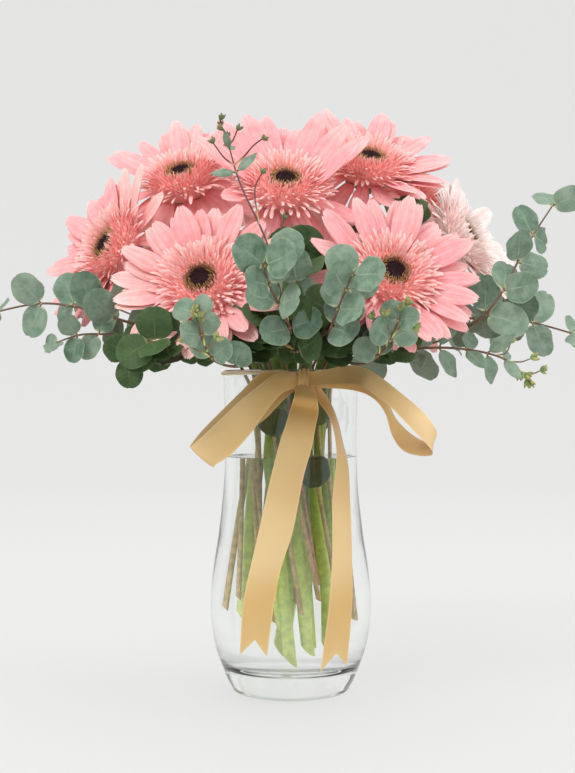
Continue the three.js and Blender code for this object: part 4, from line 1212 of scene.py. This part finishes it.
class Route:  # a soft curve through points, t running from 0 to 1
    def __init__(self, points):
        self.points = vec(points)
        self.spans = len(points) - 1

    def at(self, t):
        points = self.points
        place = t * self.spans
        k = min(int(math.floor(place)), self.spans - 1)
        before = points[k - 1] if k > 0 else 2 * points[0] - points[1]
        after = points[k + 2] if k + 2 < len(points) else 2 * points[-1] - points[-2]
        slopes = (points[k + 1] - before) / 2, (after - points[k]) / 2
        return hermite(points[k], points[k + 1], *slopes, place - k)

    def tangent(self, t):
        return unit(self.at(min(1, t + 1e-4)) - self.at(max(0, t - 1e-4)))

    def path(self, steps, first=1):  # from one of its points on, with steps between each two
        places = np.linspace(first / self.spans, 1, steps * (self.spans - first) + 1)
        return [self.at(t) for t in places]


def setSpray(spray):
    slot = takeSlot(vec(spray["route"][0]), *stemShape["sprayLean"])
    foot, neck, leave = lowerRun(slot, spray["foot"])
    spray["foot"], spray["neck"] = foot, neck
    spray["curve"] = Route([neck, leave, *spray["route"]])
    spray["twigs"] = []
    places = sorted({0, 0.5, *spray["pairs"], *range(1, len(spray["route"]) + 1)})
    kept = [p for i, p in enumerate(places) if p in spray["pairs"] or i == 0
            or all(q == p or abs(q - p) > twigShape["closest"] for q in places)]
    spray["points"] = [foot, neck] + [atPlace(spray, p) for p in kept]
    spray["radius"] = stemShape["finestRadius"] if spray["name"] == "top_twig" else stemShape["sprayRadius"]


def atPlace(spray, place):
    return spray["curve"].at((place + 1) / (len(spray["route"]) + 1))


def branch(spray, place, start, route):  # it leaves the stem at a place, and starts a little before that
    return Route([atPlace(spray, place + start), atPlace(spray, place), *route])


def leafFrame(spray, place, roll, spread):  # the way a leaf points, its face and its side
    t = (place + 1) / (len(spray["route"]) + 1)
    tangent = spray["curve"].tangent(min(t, 0.999))
    look = unit(vec(spray["look"]))
    side = unit(np.cross(tangent, look))
    away = unit(np.cross(side, tangent))
    outward = side * math.cos(roll) + away * math.sin(roll)
    along = unit(outward * math.sin(spread) + tangent * math.cos(spread))
    face = look - along * look.dot(along)
    openness = np.linalg.norm(face)
    if openness < leafRoom["endOn"]:
        tip = leafRoom["endOnTip"]
        face = face - tip * tangent + tip * tangent.dot(along) * along
    face = unit(face)
    root = atPlace(spray, min(place, len(spray["route"]) - leafRoom["lastRoot"]))
    return {"root": root, "along": along, "face": face, "side": np.cross(face, along),
            "open": openness > leafRoom["leastOpen"], "narrow": spray["narrow"], "slim": spray["slim"]}


def leafSamples(leaf):
    root, forward, side, size = leaf["root"], leaf["along"], leaf["side"], leaf["size"]
    beside = leafRoom["testSide"]
    made = []
    for along in leafRoom["tests"]:
        for wide in [0] if leaf["narrow"] else [-beside, 0, beside]:
            wide = wide * beside if along == 1 else wide  # the tip is narrower
            made.append(root + forward * along * size + side * wide * size)
    return made


obstacles = []


def isClear(samples, points, reaches, grown):
    room = leafRoom
    x, y, z = samples.T
    if np.any((z < room["rimHeight"]) & (np.hypot(x, y) < room["rimReach"])):
        return False
    if np.any((z < room["bowHeight"]) & (y < 0) & (np.abs(x) < room["bowHalfWidth"])):
        return False
    if np.any(np.linalg.norm(points[None] - samples[:, None], axis=2) <= reaches):
        return False
    return not grown or bool(np.all(
        np.linalg.norm(vec(grown)[None] - samples[:, None], axis=2) > room["toOwn"]))


def clearLeaf(spray, place, roll, spread, size, points, reaches):
    spare = None  # one that points at the viewer is taken only where no other fits
    for scale, fold, turn in itertools.product(leafRoom["scales"], leafRoom["folds"], leafRoom["turns"]):
        leaf = leafFrame(spray, place, math.radians(roll + turn), math.radians(spread + fold))
        leaf["size"] = size * scale
        if spare and not leaf["open"]:
            continue
        if isClear(vec(leafSamples(leaf)), points, reaches, spray["grown"]):
            if leaf["open"]:
                return leaf
            spare = leaf
    return spare


def growLeaves(spray, seed):  # each leaf is turned round its stem until it hangs clear, or is left off
    random = seededRandom(seed)
    shape = leafShape
    spray["leaves"] = []
    spray["grown"] = []
    others = [o for o in obstacles if o[2] is not spray]
    points = vec([o[0] for o in others])
    reaches = vec([o[1] for o in others])
    if "parent" in spray:
        reaches = np.where(reaches < leafRoom["thin"], reaches * leafRoom["twigRoom"], reaches)
    turn = shape["narrowTurn"] if spray["narrow"] else shape["pairTurn"]
    for i, place in enumerate(spray["pairs"]):
        share = i / (len(spray["pairs"]) - 1)
        size = spray["leaf"][0] + (spray["leaf"][1] - spray["leaf"][0]) * share
        near = np.linalg.norm(points - atPlace(spray, place), axis=1) < size * 1.1 + reaches + 1
        for half in (0, 180):
            roll = spray["roll"] + half + turn * i + swayed(random, shape["rollSway"])
            spread = shape["spread"] + swayed(random, shape["spreadSway"])
            leafSize = size * between(random, *shape["sizes"])
            leaf = clearLeaf(spray, place, roll, spread, leafSize, points[near], reaches[near])
            if leaf:
                spray["leaves"].append(leaf)
                spray["grown"] += leafSamples(leaf)
    obstacles.extend((point, leafRoom["toOther"], spray) for point in spray["grown"])


def leafWidth(s, narrow):
    if narrow:
        return leafShape["narrowWidth"] * np.sin(np.pi * s ** 0.85) ** 0.8
    return leafShape["roundWidth"] * np.sqrt(np.maximum(0, 1 - np.abs(2 * s ** 0.92 - 1) ** 2.2))


def addLeaf(gather, leaf, random, top):
    shape = leafShape
    root, forward, face, size = leaf["root"], leaf["along"], leaf["face"], leaf["size"]
    petiole = shape["petiole"]
    s, across = meshed(shape["rows"], shape["cols"])
    away = np.abs(across)
    phase = 2 * math.pi * random()
    wave = shape["wave"] * np.sin(2 * math.pi * s * (shape["waves"] + random()) + phase) * away ** 2
    fold = shape["fold"] * between(random, *shape["folds"]) * away ** 1.5 * np.sin(np.pi * s)
    droop = -shape["droop"] * (random() - shape["droopBias"]) * s * s
    notch, wobble = 0, 0
    if not leaf["narrow"]:
        notch, wobble = shape["notch"] * (shape["notchLeast"] + random()), shape["wobble"]
    notch = notch * away * np.clip(s * 4 - 3, 0, 1) - notch * away ** 2 * np.clip(1 - s * 3, 0, 1)
    rim = np.sin(3 * math.pi * s + phase) * np.sign(across) + 0.35 * np.sin(5 * math.pi * s - phase)
    wide = leafWidth(s, leaf["narrow"]) * leaf["slim"] * across * (1 + wobble * rim)
    along = petiole + (1 - petiole) * (s + notch)
    height = (wave + fold + droop) * size
    grid = root + along[..., None] * forward * size + wide[..., None] * leaf["side"] * size
    grid = grid + height[..., None] * face
    addSheet(gather, grid, bladeOf(across, s, random()), shape["thickness"], top, "under")
    stalk = [root, root + forward * size * petiole * 0.6, root + forward * size * petiole * 1.6 + face * 0.1]
    addTube(gather, stalk, shape["petioleRadii"], shape["petioleSides"], "bark", shape["petioleTone"])


def addLeaves(gather, spray, random):
    for leaf in spray["leaves"]:
        addLeaf(gather, leaf, random, "dark" if spray["dark"] else "grey")


def addTuft(gather, base, forward, random, dark):  # pointed buds that spread round the way a twiglet points
    shape = twigShape
    aside = unit(np.cross(forward, [0.3, 0.5, 0.81]))
    other = np.cross(forward, aside)
    for k in range(shape["tuftBuds"]):
        turn = 2 * math.pi * (k * shape["tuftTurn"] + 0.1 * random())
        swing = (aside * math.cos(turn) + other * math.sin(turn)) * shape["tuftSpread"] * (0.5 + random())
        direction = unit(forward + (swing if k else 0))
        length = shape["budLength"] * between(random, *shape["budLengths"])
        length = length * (shape["darkLength"] if dark else 1)
        start = base - forward * 0.4 + direction * 0.2
        path = [start + direction * length * t for t in shape["budSteps"]]
        tone = between(random, *shape["darkTone" if dark else "freshTone"])
        radii = vec(shape["budRadii"]) * length / shape["budLength"]
        addTube(gather, path, radii, shape["budSides"], "bud", tone)


def addBuds(gather, spray, random):  # tufts close on a budded twig's tip
    shape = twigShape
    last = len(spray["route"])
    for i in range(shape["tufts"]):
        place = spray["buds"] + i * (last - spray["buds"]) / (shape["tufts"] - 1)
        leaf = leafFrame(spray, place, math.radians(i * shape["tuftRoll"]), math.radians(shape["tuftLean"]))
        base = leaf["root"] + leaf["along"] * 0.8
        addTuft(gather, base, leaf["along"], random, spray["name"] == "top_twig")


def addTwiglet(gather, spray, place, route, random):
    path = branch(spray, place, twigShape["twigletStart"], route).path(twigShape["twigletSteps"])
    dark = spray["name"] == "top_twig"
    radii = twigShape["twigletRadius"] * np.linspace(*twigShape["twigletTaper"], len(path))
    addTube(gather, path, radii, twigShape["twigletSides"], "bark", 0 if dark else 1)
    addTuft(gather, path[-1], unit(path[-1] - path[-2]), random, dark)


def addNeckLeaf(gather, spec, random):  # a leaf between the stems and the glass
    turn = math.radians(spec["turn"])
    face = vec([math.cos(turn), math.sin(turn), 0])
    root = face * spec["from"] + vec([0, 0, spec["height"]])
    along = unit(vec([-face[1], face[0], 0]) * spec["lean"] + vec([0, 0, -1]))
    leaf = {"root": root, "along": along, "face": face, "side": np.cross(face, along), "size": spec["size"],
            "narrow": False, "slim": 1}
    addLeaf(gather, leaf, random, "dark")
    stalk = [root - face * inward + vec([0, 0, above]) for inward, above in spec["stalk"]]
    addTube(gather, stalk, spec["radii"], leafShape["petioleSides"], "bark", 1)


def setSideTwig(twig):
    parent = next(spray for spray in sprays if spray["name"] == twig["parent"])
    twig["curve"] = branch(parent, twig["from"], twigShape["twigStart"], twig["route"])
    parent["twigs"].append(twig)


def addSideTwig(gather, twig, random):
    path = twig["curve"].path(twigShape["twigSteps"])
    radii = twigShape["radius"] * np.linspace(*twigShape["taper"], len(path))
    addTube(gather, path, radii, twigShape["sides"], "bark", random())
    addLeaves(gather, twig, random)


def makeSpray(spray, seed):
    random = seededRandom(seed)
    shape = twigShape
    gather = Gather()
    foot, neck = spray["foot"], spray["neck"]
    straight = [foot + (neck - foot) * t for t in np.linspace(0, 1, shape["straightSteps"])[:-1]]
    path = softened(straight + spray["curve"].path(shape["curvedSteps"], 0), shape["softenings"])
    thick, taper, power = shape["stemTaper"]
    radii = spray["radius"] * (thick - taper * np.linspace(0, 1, len(path)) ** power)
    tone = 0 if spray["name"] == "top_twig" else random()
    addTube(gather, path, radii, shape["stemSides"], "bark", tone, shape["stemSlant"])
    addLeaves(gather, spray, random)
    if spray["buds"]:
        addBuds(gather, spray, random)
    for place, route in twiglets.get(spray["name"], []):
        addTwiglet(gather, spray, place, route, random)
    for twig in spray["twigs"]:
        addSideTwig(gather, twig, random)
    if spray["name"] == "low_centre":
        for spec in neckLeaves:
            addNeckLeaf(gather, spec, random)
    materials = {"grey": greyLeaf, "dark": darkLeaf, "under": underLeaf, "bark": twigBark, "bud": budGreen}
    makePiece("spray_" + spray["name"], gather, materials, "eucalyptus_" + spray["name"])


def addObstacles():
    room = leafRoom
    s, across = (axis.ravel() for axis in meshed(room["rayAlong"], room["rayAcross"]))
    for bloom in blooms:
        for ray in bloom["rays"]:
            obstacles.extend((point, room["toRay"], None) for point in onRay(bloom, ray, s, across))
        for height in room["coreHeights"]:
            obstacles.append((fromBloom(bloom, 0, 0, height), room["toCore"], None))
    stems = [(bloom["points"], stemShape["stalkRadius"], bloom) for bloom in blooms]
    stems += [(spray["points"], spray["radius"], spray) for spray in sprays]
    for points, radius, owner in stems:
        for a, b in zip(points[1:-1], points[2:]):
            steps = math.ceil(np.linalg.norm(b - a) / room["stemStep"])
            for k in range(steps + 1):
                obstacles.append((a + (b - a) * k / steps, radius + room["toStem"], owner))


for spray in sprays:
    setSpray(spray)
addObstacles()
for number, spray in enumerate(sprays):
    growLeaves(spray, seeds["leaves"] + number)
for number, twig in enumerate(sideTwigs):
    setSideTwig(twig)
    growLeaves(twig, seeds["twigLeaves"] + number)
for number, spray in enumerate(sprays):
    makeSpray(spray, seeds["spray"] + number)
print("leaves grown:", sum(len(spray["leaves"]) for spray in sprays), "and on side twigs:",
      [len(twig["leaves"]) for twig in sideTwigs])

# Ribbon: a gathered band round the neck, a pleated knot, two loops and two tails, as pairs of edge points

ribbonShape = {
    "width": 18, "thickness": 0.32, "steps": 5, "cols": 9, "arch": 0.7, "notch": 9.5, "notchReach": 26,
    "bandRadius": 42.4, "bandBottom": 195.9, "bandHeight": 2.3, "bandPleats": 6, "bandDepth": 1.5,
    "bandArc": (-79, 279), "bandSteps": 150, "bandInside": 0.15, "bandAcross": 0.9,
    "knotCentre": (7.4, -48.6, 191.6), "knotSize": (5.2, 5.6, 7.6), "knotStations": 25, "knotSides": 40,
    "knotPinch": 0.12, "pleats": 4, "pleatDepth": 0.6, "knotWrap": 40, "shade": 0.6, "shadeReach": 12,
    "turnIn": 19, "tailShade": 0.85, "bandSway": 0.2, "bandWave": 0.35, "bandCrease": 0.12, "knotLean": 0.5,
    "knotSway": 0.3, "knotAcross": 0.9, "knotAlong": 7, "knotShade": 0.25, "pleatShade": 0.2,
}
leftLoop = [
    [[6, -49, 197], [6, -50, 188]], [[-9, -60, 196], [-5, -61, 185]], [[-19, -66, 189], [-16, -68, 172]],
    [[-30, -69, 180], [-23, -70, 162]], [[-49, -68, 162], [-34, -69, 150]],
    [[-57, -66, 155], [-43, -67, 144]], [[-58, -63, 155], [-44, -64, 143]],
    [[-50, -60, 165], [-33, -61, 157]], [[-29, -57, 186], [-16, -58, 169]],
    [[-19, -54, 196], [-9, -55, 176]], [[-9, -51, 198], [-2, -52, 183]], [[4, -48, 197], [5, -48, 188]],
]
rightLoop = [
    [[9, -50, 197], [9, -51, 189]], [[22, -60, 199], [24, -68, 190]], [[35, -67, 201], [36, -80, 190]],
    [[47, -71, 197], [43, -84, 187]], [[63, -71, 185], [54, -85, 179]], [[77, -69, 173], [67, -82, 166]],
    [[84, -66, 162], [80, -79, 152]], [[80, -61, 156.5], [76, -73, 149]],
    [[71, -57, 160.5], [65, -69, 151.5]], [[62, -54, 169.3], [58.5, -65, 160]],
    [[56, -52, 181], [54, -63, 174]], [[46, -50, 191], [46, -61, 183]], [[32, -49, 196], [33, -56, 187]],
    [[11, -48, 196], [11, -48, 188]],
]
leftTail = [
    [[3, -50, 192], [12, -50, 192]], [[2, -58.5, 184], [15, -58.5, 182]], [[0, -57.5, 177], [16, -57, 174]],
    [[-3, -60.5, 167], [14, -60.5, 164]], [[-7, -60, 155], [12, -60, 153]],
    [[-12, -59, 135], [7, -59, 135]], [[-19, -57, 104], [1, -57, 104]], [[-24, -56, 82], [-6, -56, 82]],
    [[-28, -56, 62], [-10, -56, 61]], [[-30, -56, 32], [-14, -56, 31]],
]
rightTail = [
    [[8, -48, 192], [14, -48, 193]], [[16, -54, 180], [23, -46, 180]], [[23, -59, 169], [28, -46, 168]],
    [[26, -61, 155], [31, -46, 155]], [[26, -60, 142], [34, -46, 142]], [[24, -59, 122], [35, -47, 122]],
    [[24, -59, 92], [36, -48, 92]], [[22, -58, 60], [36, -49, 60]], [[17, -58, 22.5], [33, -50, 24.5]],
]


def addStrip(gather, pairs, notched=False):  # painted shade darkens it near the knot, where the folds close on it, and on a tail where it turns in below the knot
    shape = ribbonShape
    rows = smoothRows(pairs, shape["steps"])
    across = np.linspace(-1, 1, shape["cols"])
    share = (across[None, :, None] + 1) / 2
    grid = rows[:, :1] * (1 - share) + rows[:, 1:] * share
    middle = grid[:, shape["cols"] // 2]
    steps = np.linalg.norm(np.diff(middle, axis=0), axis=1)
    along = np.concatenate([[0], np.cumsum(steps)])
    grid = grid + normalsOf(grid) * (shape["arch"] * (1 - across ** 2))[None, :, None]
    if notched:
        reach = shape["notchReach"]
        near = np.clip((along - along[-1] + reach) / reach, 0, 1)
        pull = shape["notch"] * (1 - np.abs(across)) * near[:, None]
        grid = grid - pull[..., None] * unit(middle[-1] - middle[-2])
        tone = shape["tailShade"] * np.exp(-((along - shape["turnIn"]) / shape["shadeReach"]) ** 2)
    else:
        tone = shape["shade"] * np.exp(-np.minimum(along, along[-1] - along) / shape["shadeReach"])
    addSheet(gather, grid, bladeOf(across, along[:, None], tone[:, None]), shape["thickness"])
    return along[-1]


def addBand(gather):  # the ribbon gathered round the neck in lengthwise pleats, its ends under the knot
    shape = ribbonShape
    pleats = shape["bandPleats"]
    arc = np.radians(np.linspace(*shape["bandArc"], shape["bandSteps"]))
    angles, place = meshed(arc, np.arange(pleats + 1))
    depth = shape["bandDepth"] * (1 + shape["bandSway"] * np.sin(7 * angles + 1.7 * place))
    radius = shape["bandRadius"] + np.where(place % 2 == 0, shape["bandInside"], depth)
    height = shape["bandBottom"] + shape["bandHeight"] * place / pleats
    height = height + shape["bandWave"] * np.sin(3 * angles + 0.4 * place)
    height = height + shape["bandCrease"] * np.sin(17 * angles + place)
    grid = np.stack([radius * np.cos(angles), radius * np.sin(angles), height], axis=-1)
    along = (angles - angles[0, 0]) * shape["bandRadius"]
    across = (place / pleats * 2 - 1) * shape["bandAcross"]
    addSheet(gather, grid, bladeOf(across, along, 1), shape["thickness"])
    return 2 * math.pi * shape["bandRadius"]


def addKnot(gather):  # a pleated wrap, its ridges running over from back to front
    shape = ribbonShape
    cx, cy, cz = shape["knotCentre"]
    sx, sy, sz = shape["knotSize"]
    count = shape["knotSides"]
    points = []
    blade = []
    for place in np.linspace(-1, 1, shape["knotStations"]):
        body = (1 - abs(place) ** 3.2) ** 0.5 * 0.9 + 0.1
        pleat = shape["pleatDepth"] * math.cos(math.pi * shape["pleats"] * place + 0.6)
        for k in range(count):
            turn = 2 * math.pi * k / count
            fold = pleat * (1 + shape["knotSway"] * math.sin(turn * 2))
            pinch = 1 - shape["knotPinch"] * math.cos(turn) ** 2 * (1 - abs(place))
            points.append((cx + place * sx + shape["knotLean"] * math.sin(turn),
                           cy + (sy * body + fold) * math.cos(turn) * pinch,
                           cz + (sz * body + fold) * math.sin(turn)))
            # painted shade over the whole knot, deeper in the valleys between its pleats
            tone = shape["knotShade"] - shape["pleatShade"] * pleat
            blade.append((place * shape["knotAcross"], turn * shape["knotAlong"], tone))
    end = len(points) - 1
    caps = [tuple(range(count)), tuple(range(end, end - count, -1))]
    gather.add(points, blade, (quadsOf(ringIndex(shape["knotStations"], count)) + caps, "body"))


def makeRibbon():
    gather = Gather()
    length = addBand(gather)
    addKnot(gather)
    for loop in (leftLoop, rightLoop):
        length += addStrip(gather, loop)
    for tail in (leftTail, rightTail):
        length += addStrip(gather, tail, notched=True)
    piece = makePiece("satinRibbon", gather, {"body": goldSatin}, "ribbon", sharp=70)
    flat = (ribbonShape["width"] * millimetre, (length + ribbonShape["knotWrap"]) * millimetre)
    return flat


print("ribbon made, flat size in metres:", [round(x, 3) for x in makeRibbon()])

# Studio: a pale sweep all round, a large soft key light from the front left, and a bright room; each light
# as name, place, size and power

studio = {
    "floorColour": (0.22, 0.22, 0.218), "glow": (0.551, 0.555, 0.547), "floorReach": 1500, "curve": 900,
    "wallHeight": 1350, "sides": 96, "roomColour": (0.99, 0.995, 1.0), "roomStrength": 1.0,
    "reflected": 0.45,
    "lights": [("key", (-900, -1100, 1500), 700, 14.6), ("top", (100, 300, 1900), 1200, 3),
               ("side", (1150, -250, 850), 800, 5)],
    "aim": (0, 0, 200),
}


def dimInFront(tree, kind, near, far):  # mirrored rays find the room dark on the camera's side
    mirrored = lightPath(tree, "Is Glossy Ray") - lightPath(tree, "Is Transmission Ray")
    return mirrored * placeOn(tree, kind).split()[1].within(near, far, 0.0, 1 - studio["reflected"])


def makeStudio():
    gather = Gather()
    reach, curve = studio["floorReach"], studio["curve"]
    bend = [(reach + curve * math.sin(a), curve * (1 - math.cos(a)))
            for a in np.radians(np.arange(0, 91, 7.5))]
    profile = [(0, 0), (reach / 3, 0), (reach * 2 / 3, 0), *bend, (reach + curve, studio["wallHeight"])]
    addLathe(gather, profile[::-1], studio["sides"])
    material, tree, shader = startMaterial("paleFloor", Roughness=0.7, Specular_IOR_Level=0.2,
                                           Emission_Strength=1.0)
    dim = dimInFront(tree, "Object", -0.3, -1.0)
    floor = studio["floorColour"]
    colour = mixNode(tree, cloudNode(tree, 3.0), floor, [c * 0.99 for c in floor])
    black = (0, 0, 0)
    fillInputs(shader, Base_Color=mixNode(tree, dim, colour, black),
               Emission_Color=mixNode(tree, dim, studio["glow"], black))
    makeObject("sweep", gather, {"body": material})


def makeLights():
    for name, place, size, power in studio["lights"]:
        data = bpy.data.lights.new(name, "AREA")
        data.energy = power
        data.size = size * millimetre
        light = addObject(name, data)
        light.location = [x * millimetre for x in place]
        towards = vec(studio["aim"]) - vec(place)
        pitch = math.acos(-unit(towards)[2])
        light.rotation_euler = (pitch, 0, math.atan2(-towards[0], towards[1]))
        light.visible_transmission = False  # the thick foot would show it as a white patch
    world = bpy.data.worlds.new("room")
    world.use_nodes = True
    tree = world.node_tree
    colour = mixNode(tree, dimInFront(tree, "Generated", 0.1, -0.3), studio["roomColour"], (0, 0, 0))
    fillInputs(tree.nodes["Background"], Color=colour, Strength=studio["roomStrength"])
    bpy.context.scene.world = world
    bpy.context.scene.view_settings.view_transform = "Standard"


makeStudio()
makeLights()
print("studio lit")
